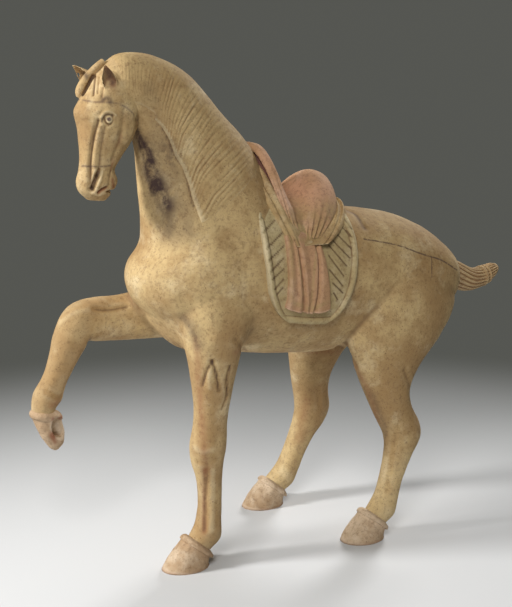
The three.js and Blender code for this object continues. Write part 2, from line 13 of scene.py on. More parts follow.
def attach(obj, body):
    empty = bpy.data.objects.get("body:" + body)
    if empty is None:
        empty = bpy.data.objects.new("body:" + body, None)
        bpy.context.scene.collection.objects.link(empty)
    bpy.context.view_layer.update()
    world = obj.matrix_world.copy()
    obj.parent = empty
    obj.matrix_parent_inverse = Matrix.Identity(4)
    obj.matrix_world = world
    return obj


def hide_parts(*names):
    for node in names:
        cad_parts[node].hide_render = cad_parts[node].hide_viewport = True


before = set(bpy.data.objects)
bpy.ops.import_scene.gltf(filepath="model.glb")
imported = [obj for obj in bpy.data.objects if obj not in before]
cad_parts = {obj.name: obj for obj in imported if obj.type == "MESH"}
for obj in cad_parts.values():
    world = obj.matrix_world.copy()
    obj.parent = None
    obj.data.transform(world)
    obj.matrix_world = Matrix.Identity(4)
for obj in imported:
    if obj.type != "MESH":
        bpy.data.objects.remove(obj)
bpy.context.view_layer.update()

log = logging.getLogger("pottery_horse")

NODE = "horse_figure"
MM = 0.001
Array = np.ndarray
Point = tuple[float, float, float]
Seen = tuple[float, float]


class Side(Enum):
    """The two sides of the horse, as the sign of y."""

    LEFT = -1
    RIGHT = 1


def smooth_step(value: Array, low: float, high: float) -> Array:
    """Rises softly from 0 to 1.

    Args:
        value: the numbers to judge.
        low: where the rise starts.
        high: where it ends.

    Returns:
        The share risen at each number.
    """
    share = np.clip((value - low) / (high - low), 0.0, 1.0)
    return share * share * (3.0 - 2.0 * share)


def catmull(rows: Array, t: Array) -> Array:
    """Runs a smooth curve through rows of numbers.

    Args:
        rows: one row for each station.
        t: places along the curve, from 0 to 1.

    Returns:
        One row for each place.
    """
    padded = np.vstack([2 * rows[0] - rows[1], rows, 2 * rows[-1] - rows[-2]])
    place = np.clip(t, 0.0, 1.0) * (len(rows) - 1)
    start = np.minimum(place.astype(int), len(rows) - 2)
    w = (place - start)[..., None]
    a, b, c, d = (padded[start + k] for k in range(4))
    into, out = 0.5 * (c - a), 0.5 * (d - b)
    return b + into * w + (3 * (c - b) - 2 * into - out) * w**2 + (2 * (b - c) + into + out) * w**3


def to_polyline(points: Array, path: Array, reach: float) -> Array:
    """Measures how far points lie from a line of straight pieces.

    Args:
        points: the points, one a row.
        path: the line's corners, one a row.
        reach: distances past this aren't needed.

    Returns:
        The distance of each point, or twice the reach where it is further away.
    """
    best = np.full(len(points), 2.0 * reach)
    near = np.all((points > path.min(0) - reach) & (points < path.max(0) + reach), axis=1)
    chosen = points[near]
    found = np.full(len(chosen), 2.0 * reach)
    for a, b in zip(path[:-1], path[1:]):
        along = b - a
        share = np.clip((chosen - a) @ along / max(along @ along, 1e-9), 0.0, 1.0)
        found = np.minimum(found, np.linalg.norm(chosen - a - share[:, None] * along, axis=1))
    best[near] = found
    return best


@dataclass(frozen=True)
class Station:
    """One cross-section of a form, in millimetres, with its heading in degrees in the XZ plane."""

    x: float
    z: float
    heading: float
    over: float
    under: float
    side: float
    y: float = 0.0
    power: float = 2.0


class Form:
    """A body form run through cross-sections."""

    def __init__(self, stations: list[Station], x: float = 0.0, y: float = 0.0) -> None:
        """Sets the cross-sections in place.

        Args:
            stations: the cross-sections from one end to the other.
            x: how far the whole form is moved along the horse.
            y: how far it is moved across.
        """
        self.rows = np.array(
            [[s.x + x, s.y + y, s.z, s.heading, s.over, s.under, s.side, s.power] for s in stations]
        )

    def points(self, t: Array, angle: Array) -> Array:
        """Gives points on the skin of the form.

        Args:
            t: places along it, from 0 to 1.
            angle: degrees round it, 0 over it and 90 on the horse's left.

        Returns:
            One point a row.
        """
        row = catmull(self.rows, t)
        heading, share = np.radians(row[:, 3]), 2.0 / row[:, 7]
        up, out = np.cos(np.radians(angle)), np.sin(np.radians(angle))
        height = np.sign(up) * np.abs(up) ** share * np.where(up > 0, row[:, 4], row[:, 5])
        width = np.sign(out) * np.abs(out) ** share * row[:, 6]
        lift = np.stack([np.sin(heading) * height, -width, -np.cos(heading) * height], axis=1)
        return row[:, :3] + lift

    def locate(self, points: Array) -> tuple[Array, Array]:
        """Finds the place along the form and the angle round it of points near its skin.

        Args:
            points: the points, one a row.

        Returns:
            The places along it and the angles in degrees.
        """
        t = np.linspace(0.0, 1.0, 160)
        row = catmull(self.rows, t)
        heading = np.radians(row[:, 3])
        ahead = np.stack([np.cos(heading), np.zeros(len(t)), np.sin(heading)], axis=1)
        past = points @ ahead.T - np.sum(row[:, :3] * ahead, axis=1)
        crossed = (past[:, :-1] >= 0) & (past[:, 1:] < 0)
        away = np.abs(past[:, :-1]) + 1e3 * ~crossed
        start = np.argmin(away, axis=1)
        pick = np.arange(len(points))
        first, second = past[pick, start], past[pick, start + 1]
        share = np.clip(first / np.where(first == second, 1.0, first - second), 0.0, 1.0)
        place = (start + share) / (len(t) - 1)
        here = catmull(self.rows, place)
        bearing = np.radians(here[:, 3])
        lift = points - here[:, :3]
        up = lift[:, 0] * np.sin(bearing) - lift[:, 2] * np.cos(bearing)
        up = up / np.where(up > 0, here[:, 4], here[:, 5])
        angle = np.degrees(np.arctan2(-lift[:, 1] / here[:, 6], up))
        return np.where(np.any(crossed, axis=1), place, -1.0), angle


def tube(form: Form, rings: int, sides: int) -> bmesh.types.BMesh:
    """Skins a form.

    Args:
        form: the form.
        rings: how many bands run along it.
        sides: how many run round it.

    Returns:
        A closed shell.
    """
    bm = bmesh.new()
    bmesh.ops.create_grid(bm, x_segments=rings, y_segments=sides, size=0.5)
    flat = np.array([v.co for v in bm.verts])
    shape(bm, form.points(flat[:, 0] + 0.5, 360.0 * (flat[:, 1] + 0.5)))
    return closed(bm)


def shape(bm: bmesh.types.BMesh, points: Array) -> None:
    """Moves the vertices of a grid to points, one a row."""
    for vertex, point in zip(bm.verts, points.tolist()):
        vertex.co = point


def closed(bm: bmesh.types.BMesh) -> bmesh.types.BMesh:
    """Welds the seam of a rolled grid and closes its two ends.

    Args:
        bm: the rolled grid.

    Returns:
        The same shell, closed, with its faces outwards.
    """
    bmesh.ops.remove_doubles(bm, verts=bm.verts, dist=1e-4)
    rim = [edge for edge in bm.edges if edge.is_boundary]
    bmesh.ops.holes_fill(bm, edges=rim, sides=0)
    bmesh.ops.recalc_face_normals(bm, faces=bm.faces)
    return bm


def capped(bm: bmesh.types.BMesh) -> bmesh.types.BMesh:
    """Closes the hidden underside of a sheet whose edge is sunk in the clay.

    Args:
        bm: the open sheet.

    Returns:
        The same sheet, closed below.
    """
    rim = [edge for edge in bm.edges if edge.is_boundary]
    bmesh.ops.holes_fill(bm, edges=rim, sides=0)
    return bm


def ripple(points: Array, size: float, seed: float) -> Array:
    """The uneven touch of the potter's hand.

    Args:
        points: places on the skin.
        size: how far apart its swells lie.
        seed: a number that moves the pattern.

    Returns:
        A number from about -1 to 1 for each place.
    """
    moved = points / size + seed
    return np.array([noise.noise(Vector(p)) for p in moved.tolist()])


def ball(centre: Point, reach: Point, turn: float = 0.0) -> bmesh.types.BMesh:
    """Makes an ellipsoid.

    Args:
        centre: its middle.
        reach: its half sizes along x, y and z.
        turn: how far it leans about y, in degrees.

    Returns:
        The closed shell.
    """
    bm = bmesh.new()
    bmesh.ops.create_icosphere(bm, subdivisions=4, radius=1.0)
    place = Matrix.Translation(centre) @ Matrix.Rotation(math.radians(turn), 4, "Y")
    bmesh.ops.transform(bm, matrix=place @ Matrix.Diagonal((*reach, 1.0)), verts=bm.verts)
    return bm


@dataclass(frozen=True)
class Sight:
    """The photograph's point of view: where it was taken from, and how a seen place runs into the scene."""

    place: Point = (-732.0, -1118.7, 555.0)
    yaw: float = 31.4
    pitch: float = 12.1
    focal: float = 1200.0
    middle: Seen = (256.0, 303.5)

    def ahead(self) -> Vector:
        """The way the camera looks."""
        yaw, pitch = math.radians(self.yaw), math.radians(self.pitch)
        flat = math.cos(pitch)
        return Vector((math.sin(yaw) * flat, math.cos(yaw) * flat, -math.sin(pitch)))

    def ray(self, seen: Seen) -> Vector:
        """Gives the direction of a seen place.

        Args:
            seen: the place, across and down from the frame's top left corner.

        Returns:
            The unit direction from the camera.
        """
        ahead = self.ahead()
        right = Vector((math.cos(math.radians(self.yaw)), -math.sin(math.radians(self.yaw)), 0.0))
        up = right.cross(ahead)
        across, down = seen[0] - self.middle[0], seen[1] - self.middle[1]
        return (ahead * self.focal + right * across - up * down).normalized()


@dataclass(frozen=True)
class Mark:
    """A line worked in the clay or laid on it, through places seen on the left side."""

    seen: tuple[Seen, ...]
    width: float
    height: float
    both: bool = True
    flat: bool = False


SIGHT = Sight()


class Clay:
    """Wet clay: a mesh in millimetres that is joined, smoothed, refined and pressed into shape."""

    def __init__(self, parts: list[bmesh.types.BMesh], pitch: float = 0.0) -> None:
        """Joins shells into one piece of clay.

        Args:
            parts: closed shells that reach into each other.
            pitch: the size of the grid that fuses them, or 0 to keep them as they are.
        """
        whole = bmesh.new()
        for part in parts:
            held = bpy.data.meshes.new("held")
            part.to_mesh(held)
            part.free()
            whole.from_mesh(held)
            bpy.data.meshes.remove(held)
        self.mesh = bpy.data.meshes.new("clay")
        whole.to_mesh(self.mesh)
        whole.free()
        if pitch:
            self.fuse(pitch)

    def fuse(self, pitch: float) -> None:
        """Makes one skin round everything, on a grid of that pitch."""
        helper = bpy.data.objects.new("helper", self.mesh)
        bpy.context.collection.objects.link(helper)
        remesh = helper.modifiers.new("fuse", "REMESH")
        remesh.mode = "VOXEL"
        remesh.voxel_size = pitch
        seen = helper.evaluated_get(bpy.context.evaluated_depsgraph_get())
        fused = bpy.data.meshes.new_from_object(seen)
        bpy.data.objects.remove(helper)
        bpy.data.meshes.remove(self.mesh)
        self.mesh = fused

    def points(self) -> Array:
        """The vertices, one a row."""
        flat = np.empty(3 * len(self.mesh.vertices))
        self.mesh.vertices.foreach_get("co", flat)
        return flat.reshape(-1, 3)

    def normals(self) -> Array:
        """The directions in which the skin faces at the vertices."""
        flat = np.empty(3 * len(self.mesh.vertices))
        self.mesh.vertices.foreach_get("normal", flat)
        return flat.reshape(-1, 3)

    def place(self, points: Array) -> None:
        """Moves the vertices to points, one a row."""
        self.mesh.vertices.foreach_set("co", points.ravel())
        self.mesh.update()

    def press(self, height: Array) -> None:
        """Moves the skin out by a height at each vertex, or in where it is below 0."""
        self.place(self.points() + height[:, None] * self.normals())

    def neighbours(self, value: Array) -> Array:
        """Averages a value over each vertex's neighbours.

        Args:
            value: one number or row for each vertex.

        Returns:
            The averages.
        """
        flat = np.empty(2 * len(self.mesh.edges), dtype=np.int64)
        self.mesh.edges.foreach_get("vertices", flat)
        a, b = flat.reshape(-1, 2).T
        count = len(self.mesh.vertices)
        grid = value.reshape(count, -1)
        share = np.bincount(a, minlength=count) + np.bincount(b, minlength=count)
        total = np.stack(
            [
                np.bincount(a, weights=grid[b, k], minlength=count)
                + np.bincount(b, weights=grid[a, k], minlength=count)
                for k in range(grid.shape[1])
            ],
            axis=1,
        )
        return (total / np.maximum(share, 1)[:, None]).reshape(value.shape)

    def relax(self, times: int, weight: Array | float = 1.0) -> None:
        """Smooths the skin.

        Args:
            times: how many passes are made.
            weight: how strongly each vertex is smoothed.
        """
        points = self.points()
        share = 0.5 * np.broadcast_to(weight, len(points))[:, None]
        for _ in range(times):
            points = points + share * (self.neighbours(points) - points)
        self.place(points)

    def refine(self, chosen: Array) -> None:
        """Halves the edges between chosen vertices."""
        bm = bmesh.new()
        bm.from_mesh(self.mesh)
        picks = chosen.tolist()
        edges = [e for e in bm.edges if picks[e.verts[0].index] and picks[e.verts[1].index]]
        bmesh.ops.subdivide_edges(bm, edges=edges, cuts=1, use_grid_fill=True)
        bm.to_mesh(self.mesh)
        bm.free()

    def tree(self) -> BVHTree:
        """A search tree of the skin as it stands."""
        bm = bmesh.new()
        bm.from_mesh(self.mesh)
        tree = BVHTree.FromBMesh(bm)
        bm.free()
        return tree

    def trace(self, mark: Mark, tree: BVHTree) -> list[Array]:
        """Lays a mark's line on the skin, and its mirror image on the other side.

        Args:
            mark: the mark.
            tree: the search tree of the skin.

        Returns:
            One line for each side, as points in rows.
        """
        steps = np.linspace(0.0, 1.0, 8 * (len(mark.seen) - 1) + 1)
        corners = catmull(np.array(mark.seen, dtype=float), steps)
        hits = [tree.ray_cast(Vector(SIGHT.place), SIGHT.ray(tuple(c)))[0] for c in corners]
        line = np.array([hit for hit in hits if hit is not None])
        if len(line) < 2:
            return []
        if not mark.both:
            return [line]
        mirrored = [tree.find_nearest(Vector((p[0], -p[1], p[2])))[0] for p in line]
        return [line, np.array(mirrored)]

    def measure(self, marks: list[Mark]) -> Array:
        """Adds up marks into one height for each vertex.

        Args:
            marks: the marks.

        Returns:
            The heights.
        """
        tree, points = self.tree(), self.points()
        height = np.zeros(len(points))
        for mark in marks:
            for line in self.trace(mark, tree):
                away = to_polyline(points, line, 2.5 * mark.width) / mark.width
                fall = 1.0 - smooth_step(away, 0.6, 1.2) if mark.flat else np.exp(-(away**2))
                height += mark.height * fall
        return height

    def face_out(self) -> None:
        """Turns a sheet over where most of it faces the horse's middle plane."""
        if np.sum(self.points()[:, 1] * self.normals()[:, 1]) < 0:
            self.mesh.flip_normals()

    def cavity(self) -> Array:
        """How hollow the skin is at each vertex, above 0 in a hollow and below 0 on a ridge."""
        points = self.points()
        bend = np.sum((self.neighbours(points) - points) * self.normals(), axis=1)
        for _ in range(3):
            bend = 0.5 * bend + 0.5 * self.neighbours(bend)
        return bend

    def colour(self, name: str, value: Array) -> None:
        """Stores a number for each vertex, which a finish reads by its name."""
        layer = self.mesh.attributes.new(name, "FLOAT", "POINT")
        layer.data.foreach_set("value", value.astype(np.float32))

    def finish(self, name: str, material: bpy.types.Material) -> bpy.types.Object:
        """Fires the clay: makes it a piece of the scene.

        Args:
            name: the piece's name.
            material: its finish.

        Returns:
            The piece.
        """
        self.place(self.points() * MM)
        self.mesh.name = name
        self.mesh.shade_smooth()
        self.mesh.materials.clear()
        self.mesh.materials.append(material)
        piece = bpy.data.objects.new(name, self.mesh)
        bpy.context.collection.objects.link(piece)
        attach(piece, "root")
        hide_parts(NODE)
        count = sum(len(face.vertices) - 2 for face in self.mesh.polygons)
        log.info("%s: %d triangles", name, count)
        return piece


class Recipe:
    """A finish's node tree, built from the clay body up to the paint."""

    def __init__(self, name: str) -> None:
        """Opens an empty tree with the piece's own coordinates."""
        self.material = bpy.data.materials.new(name)
        self.material.use_nodes = True
        self.tree = self.material.node_tree
        self.tree.nodes.clear()
        self.where = self.tree.nodes.new("ShaderNodeTexCoord").outputs["Object"]

    def noise(self, scale: float, detail: float = 3.0, rough: float = 0.55) -> bpy.types.NodeSocket:
        """Clouds of a given fineness.

        Args:
            scale: clouds to a metre.
            detail: how many finer layers they hold.
            rough: how strong the finer layers are.

        Returns:
            The number socket.
        """
        node = self.tree.nodes.new("ShaderNodeTexNoise")
        node.inputs["Scale"].default_value = scale
        node.inputs["Detail"].default_value = detail
        node.inputs["Roughness"].default_value = rough
        self.tree.links.new(self.where, node.inputs["Vector"])
        return node.outputs["Fac"]

    def layer(self, name: str) -> bpy.types.NodeSocket:
        """The number that the clay stores under a name."""
        node = self.tree.nodes.new("ShaderNodeAttribute")
        node.attribute_name = name
        return node.outputs["Fac"]

    def window(self, value: bpy.types.NodeSocket, low: float, high: float,
               bottom: float = 0.0, top: float = 1.0) -> bpy.types.NodeSocket:
        """Maps a range of a number softly to another.

        Args:
            value: the number.
            low: where the range starts.
            high: where it ends.
            bottom: what the start becomes.
            top: what the end becomes.

        Returns:
            The mapped number.
        """
        node = self.tree.nodes.new("ShaderNodeMapRange")
        node.interpolation_type = "SMOOTHSTEP"
        for name, number in (("From Min", low), ("From Max", high), ("To Min", bottom), ("To Max", top)):
            node.inputs[name].default_value = number
        self.tree.links.new(value, node.inputs["Value"])
        return node.outputs["Result"]

    def times(self, a: bpy.types.NodeSocket, b: bpy.types.NodeSocket | float) -> bpy.types.NodeSocket:
        """Multiplies two numbers."""
        return self.maths("MULTIPLY", a, b)

    def maths(self, kind: str, a: bpy.types.NodeSocket,
              b: bpy.types.NodeSocket | float) -> bpy.types.NodeSocket:
        """Works on two numbers.

        Args:
            kind: the operation.
            a: the first number.
            b: the second number, from a socket or plain.

        Returns:
            The result.
        """
        node = self.tree.nodes.new("ShaderNodeMath")
        node.operation = kind
        self.tree.links.new(a, node.inputs[0])
        if isinstance(b, float):
            node.inputs[1].default_value = b
        else:
            self.tree.links.new(b, node.inputs[1])
        return node.outputs["Value"]

    def over(self, share: bpy.types.NodeSocket, under: bpy.types.NodeSocket | Point,
             colour: bpy.types.NodeSocket | Point) -> bpy.types.NodeSocket:
        """Lays one colour over another.

        Args:
            share: how much of the upper colour shows.
            under: the colour below.
            colour: the colour above.

        Returns:
            The mixed colour.
        """
        node = self.tree.nodes.new("ShaderNodeMix")
        node.data_type = "RGBA"
        self.tree.links.new(share, node.inputs["Factor"])
        for name, given in (("A", under), ("B", colour)):
            socket = next(s for s in node.inputs if s.name == name and s.type == "RGBA")
            if isinstance(given, tuple):
                socket.default_value = (*given, 1.0)
            else:
                self.tree.links.new(given, socket)
        return next(s for s in node.outputs if s.type == "RGBA")

    def bump(self, height: bpy.types.NodeSocket, depth: float, strength: float,
             below: bpy.types.NodeSocket | None = None) -> bpy.types.NodeSocket:
        """Roughens the skin.

        Args:
            height: the pattern of heights.
            depth: how deep it is in millimetres.
            strength: how strongly it shows.
            below: an earlier roughening that this one adds to.

        Returns:
            The bent normal.
        """
        node = self.tree.nodes.new("ShaderNodeBump")
        node.inputs["Distance"].default_value = depth * MM
        node.inputs["Strength"].default_value = strength
        self.tree.links.new(height, node.inputs["Height"])
        if below is not None:
            self.tree.links.new(below, node.inputs["Normal"])
        return node.outputs["Normal"]

    def surface(self, colour: bpy.types.NodeSocket, normal: bpy.types.NodeSocket,
                roughness: float) -> bpy.types.Material:
        """Ends the tree in a plain fired surface.

        Args:
            colour: its colour.
            normal: its bent normal.
            roughness: how matt it is.

        Returns:
            The material.
        """
        shader = self.tree.nodes.new("ShaderNodeBsdfPrincipled")
        shader.inputs["Roughness"].default_value = roughness
        shader.inputs["Specular IOR Level"].default_value = 0.25
        self.tree.links.new(colour, shader.inputs["Base Color"])
        self.tree.links.new(normal, shader.inputs["Normal"])
        output = self.tree.nodes.new("ShaderNodeOutputMaterial")
        self.tree.links.new(shader.outputs["BSDF"], output.inputs["Surface"])
        return self.material


@dataclass(frozen=True)
class ClayFinish:
    """Unglazed fired clay under a worn slip, with old stains, dirt and painted shade in the hollows and grooves, and
    a painted highlight on the ridges.
    """

    name: str
    slip: Point = (0.56, 0.41, 0.205)
    clay: Point = (0.37, 0.235, 0.105)
    # Pale buff for pale patches and marks, and for the painted highlight on ridges.
    cream_and_highlight: Point = (0.74, 0.62, 0.40)
    bare: Point = (0.43, 0.30, 0.14)
    # Dark earth for grain, specks and blotches, and for the darkening of hollows, which is partly dirt and partly
    # painted shade.
    soil_and_shade: Point = (0.17, 0.095, 0.045)
    # Near black for real stains and for painted shade in grooves and hollows.
    stain_and_shade_dark: Point = (0.06, 0.036, 0.032)
    rust: Point = (0.26, 0.10, 0.05)
    paint: Point = (0.10, 0.06, 0.05)
    wear: float = 0.7
    speckle: float = 0.7
    roughness: float = 0.82

    def material(self) -> bpy.types.Material:
        """Builds the finish.

        Returns:
            The material.
        """
        r = Recipe(self.name)
        patches = r.window(r.noise(9.0, 5.0, 0.6), 0.4, 0.62)
        colour = r.over(patches, self.clay, self.slip)
        worn = r.window(r.noise(70.0, 5.0, 0.7), 0.3, 0.6, 0.4, 1.0)
        colour = r.over(r.times(r.layer("worn"), worn), colour, self.bare)
        mottle = r.window(r.noise(42.0, 8.0, 0.75), 0.44, 0.66)
        colour = r.over(r.times(mottle, self.wear), colour, self.clay)
        bright = r.window(r.noise(24.0, 6.0, 0.7), 0.5, 0.72)
        colour = r.over(r.times(bright, 0.5), colour, self.cream_and_highlight)
        grain = r.window(r.noise(230.0, 5.0, 0.75), 0.47, 0.7)
        colour = r.over(r.times(grain, 0.5), colour, self.soil_and_shade)
        cavity = r.layer("cavity")
        # Hollows darken towards the dark earth colour, partly dirt and partly painted shade; ridges lighten towards
        # the pale colour as a painted highlight.
        colour = r.over(r.window(cavity, 0.01, 0.2, 0.0, 0.8), colour, self.soil_and_shade)
        colour = r.over(r.window(r.times(cavity, -1.0), 0.02, 0.3, 0.0, 0.45), colour, self.cream_and_highlight)
        specks = r.window(r.noise(520.0, 2.0, 0.6), 0.62, 0.72)
        colour = r.over(r.times(specks, self.speckle), colour, self.soil_and_shade)
        blotches = r.window(r.noise(120.0, 5.0, 0.75), 0.58, 0.74)
        colour = r.over(r.times(blotches, 0.5), colour, self.soil_and_shade)
        colour = r.over(r.times(r.layer("pale"), worn), colour, self.cream_and_highlight)
        colour = r.over(r.times(r.layer("rust"), worn), colour, self.rust)
        # Real stains and painted shade in grooves and hollows, laid in the same near black.
        colour = r.over(r.times(r.layer("stain_and_shade"), worn), colour, self.stain_and_shade_dark)
        line = r.window(r.noise(260.0, 3.0, 0.6), 0.32, 0.55, 0.35, 1.0)
        colour = r.over(r.times(r.layer("paint"), line), colour, self.paint)
        rough = r.bump(r.noise(700.0, 4.0, 0.6), 0.3, 0.6)
        rough = r.bump(r.noise(150.0, 5.0, 0.65), 0.9, 0.6, rough)
        return r.surface(colour, rough, self.roughness)


BUFF = ClayFinish("buff_clay")
PINK = ClayFinish(
    "pink_cover", slip=(0.60, 0.345, 0.215), clay=(0.47, 0.28, 0.15), cream_and_highlight=(0.74, 0.50, 0.37),
    soil_and_shade=(0.20, 0.09, 0.055), wear=0.6, speckle=0.45,
)
# Near-black maroon that paints the shade in the hollow under the pommel's flared front.
HOLLOW_SHADE = ClayFinish(
    "painted_shade_lining", slip=(0.17, 0.065, 0.055), clay=(0.09, 0.035, 0.035), cream_and_highlight=(0.36, 0.19, 0.12),
    bare=(0.22, 0.10, 0.07), soil_and_shade=(0.05, 0.02, 0.022), wear=0.6, speckle=0.3,
)
GREENISH = ClayFinish(
    "greenish_blanket", slip=(0.54, 0.445, 0.25), clay=(0.42, 0.32, 0.16), cream_and_highlight=(0.70, 0.60, 0.41),
    wear=0.55, speckle=0.6,
)
HORN = ClayFinish(
    "pale_hoof", slip=(0.60, 0.46, 0.32), clay=(0.40, 0.27, 0.16), cream_and_highlight=(0.72, 0.60, 0.46),
    wear=0.65, speckle=0.6,
)


class Layer(Enum):
    """The layers that every finish reads."""

    CAVITY = "cavity"
    WORN = "worn"
    PALE = "pale"
    RUST = "rust"
    STAIN_AND_SHADE = "stain_and_shade"
    PAINT = "paint"


def dress(clay: Clay, layers: dict[Layer, Array], gain: float = 1.0) -> None:
    """Stores every layer on the clay, with zeros where a piece has none.

    Args:
        clay: the clay.
        layers: the layers that the piece has.
        gain: how strongly its hollows are darkened, partly as dirt and partly as painted shade, and its ridges
            lightened as a painted highlight.
    """
    bare = np.zeros(len(clay.mesh.vertices))
    for layer in Layer:
        value = gain * clay.cavity() if layer is Layer.CAVITY else layers.get(layer, bare)
        clay.colour(layer.value, value if layer is Layer.CAVITY else np.clip(value, 0.0, 1.0))


TORSO = Form([
    Station(225, 285, 180, 8, 11, 12), Station(217, 286, 180, 25, 33, 34),
    Station(198, 290, 180, 39, 50, 54), Station(165, 295, 180, 56, 62, 67),
    Station(125, 298, 180, 68, 72, 73), Station(80, 297, 180, 77, 80, 74),
    Station(30, 295, 180, 85, 84, 76), Station(-20, 296, 180, 92, 81, 77),
    Station(-65, 300, 180, 122, 79, 77, power=1.8), Station(-110, 304, 180, 118, 76, 75, power=1.8),
    Station(-150, 306, 180, 90, 69, 67, power=1.9), Station(-173, 307, 180, 50, 44, 46),
    Station(-184, 307, 180, 26, 24, 26), Station(-189, 307, 180, 4, 4, 4),
])
BREAST = Form([
    Station(-120, 251, 90, 30, 25, 36), Station(-118, 262, 90, 34, 46, 55),
    Station(-116, 277, 90, 40, 66, 69), Station(-115, 295, 90, 45, 82, 75),
    Station(-115, 314, 90, 45, 88, 75.5), Station(-116, 331, 90, 45, 83, 73.5),
    Station(-117, 343, 90, 42, 72, 70), Station(-119, 357, 90, 40, 65, 65),
    Station(-122, 380, 90, 38, 63, 58), Station(-125, 404, 90, 36, 63, 50),
    Station(-128, 428, 90, 32, 63, 41), Station(-130, 446, 90, 28, 61, 33),
])
NECK = Form([
    Station(-78, 272, 114, 40, 74, 68), Station(-90, 318, 114, 55, 98, 77),
    Station(-102, 364, 118, 70, 89, 67), Station(-124, 404, 125, 76, 72, 54),
    Station(-145, 442, 135, 66, 61, 42), Station(-163, 483, 148, 52, 52, 34),
    Station(-187, 509, 164, 38.5, 38, 29), Station(-212, 515, 180, 32, 30, 25),
    Station(-229, 512, 192, 20, 20, 18),
])
LEGS = {
    "left_fore": Form([
        Station(-120, 330, 270, 46, 50, 35, y=-36), Station(-124, 288, 270, 44, 48, 35.5, y=-42),
        Station(-128, 260, 270, 36, 38, 33, y=-45), Station(-130, 238, 270, 30, 30, 28, y=-46),
        Station(-131, 212, 270, 24, 25, 23, y=-45), Station(-131, 182, 270, 20, 20, 19, y=-43),
        Station(-131, 158, 270, 20, 18, 18, y=-41), Station(-132, 136, 270, 23, 18, 19, y=-40),
        Station(-133, 117, 270, 20, 16, 17, y=-39), Station(-132, 96, 270, 14.5, 14, 14, y=-38),
        Station(-131, 68, 268, 13.5, 13, 13.5, y=-37), Station(-133, 48, 260, 14, 14, 14.5, y=-37),
        Station(-136, 35, 248, 15, 18, 16, y=-37), Station(-142, 26, 234, 15, 14, 15, y=-37),
        Station(-148, 20, 233, 13, 13, 14, y=-37),
    ]),
    "left_hind": Form([
        Station(134, 326, 250, 44, 56, 34, y=-24), Station(124, 288, 250, 66, 82, 42, y=-36),
        Station(106, 244, 254, 66, 72, 37, y=-46), Station(92, 205, 262, 46, 51, 28, y=-55),
        Station(90, 172, 272, 30, 32, 22, y=-60), Station(95, 146, 280, 23, 26, 19, y=-63),
        Station(104, 124, 276, 22, 28, 17.5, y=-66), Station(107, 110, 264, 22, 27, 17, y=-67),
        Station(102, 92, 252, 18, 17, 15.5, y=-69), Station(92, 66, 250, 15, 12.5, 14, y=-71),
        Station(84, 44, 248, 15, 12.5, 14.5, y=-73), Station(76, 32, 242, 15, 17, 16, y=-74),
        Station(69, 24, 234, 15, 14, 15, y=-74), Station(63, 19, 233, 13, 13, 14, y=-74),
    ]),
    "right_hind": Form([
        Station(134, 326, 250, 44, 56, 34, y=24), Station(122, 288, 250, 66, 82, 42, y=36),
        Station(92, 244, 254, 58, 66, 37, y=46), Station(74, 200, 264, 40, 40, 28, y=56),
        Station(69, 166, 272, 29, 26, 22, y=61), Station(69, 138, 276, 23, 23, 18.5, y=64),
        Station(71, 118, 270, 22, 25, 17.5, y=66), Station(68, 103, 258, 20, 22, 16.5, y=68),
        Station(61, 86, 250, 17, 16, 15, y=70), Station(51, 64, 246, 13.5, 14, 14, y=73),
        Station(43, 46, 244, 13.5, 14, 14.5, y=74), Station(34, 32, 238, 14, 17, 16, y=75),
        Station(26, 24, 234, 15, 14, 15, y=75), Station(20, 19, 233, 13, 13, 14, y=75),
    ]),
    "right_fore": Form([
        Station(-136, 278, 184, 28, 40, 30, y=40), Station(-168, 270, 184, 25, 31, 26, y=46),
        Station(-200, 268, 180, 23, 26, 22, y=47), Station(-226, 268, 178, 24, 24, 20, y=46),
        Station(-244, 264, 208, 23, 18, 20, y=45), Station(-254, 246, 246, 20, 17, 18.5, y=45),
        Station(-263, 226, 246, 16.5, 13, 16, y=45), Station(-272, 207, 246, 14.5, 11.5, 14.5, y=45),
        Station(-281, 191, 250, 16, 15, 15.5, y=45), Station(-285, 179, 262, 14.5, 10, 15, y=45),
        Station(-285, 168, 268, 13, 10, 13, y=45),
    ]),
}


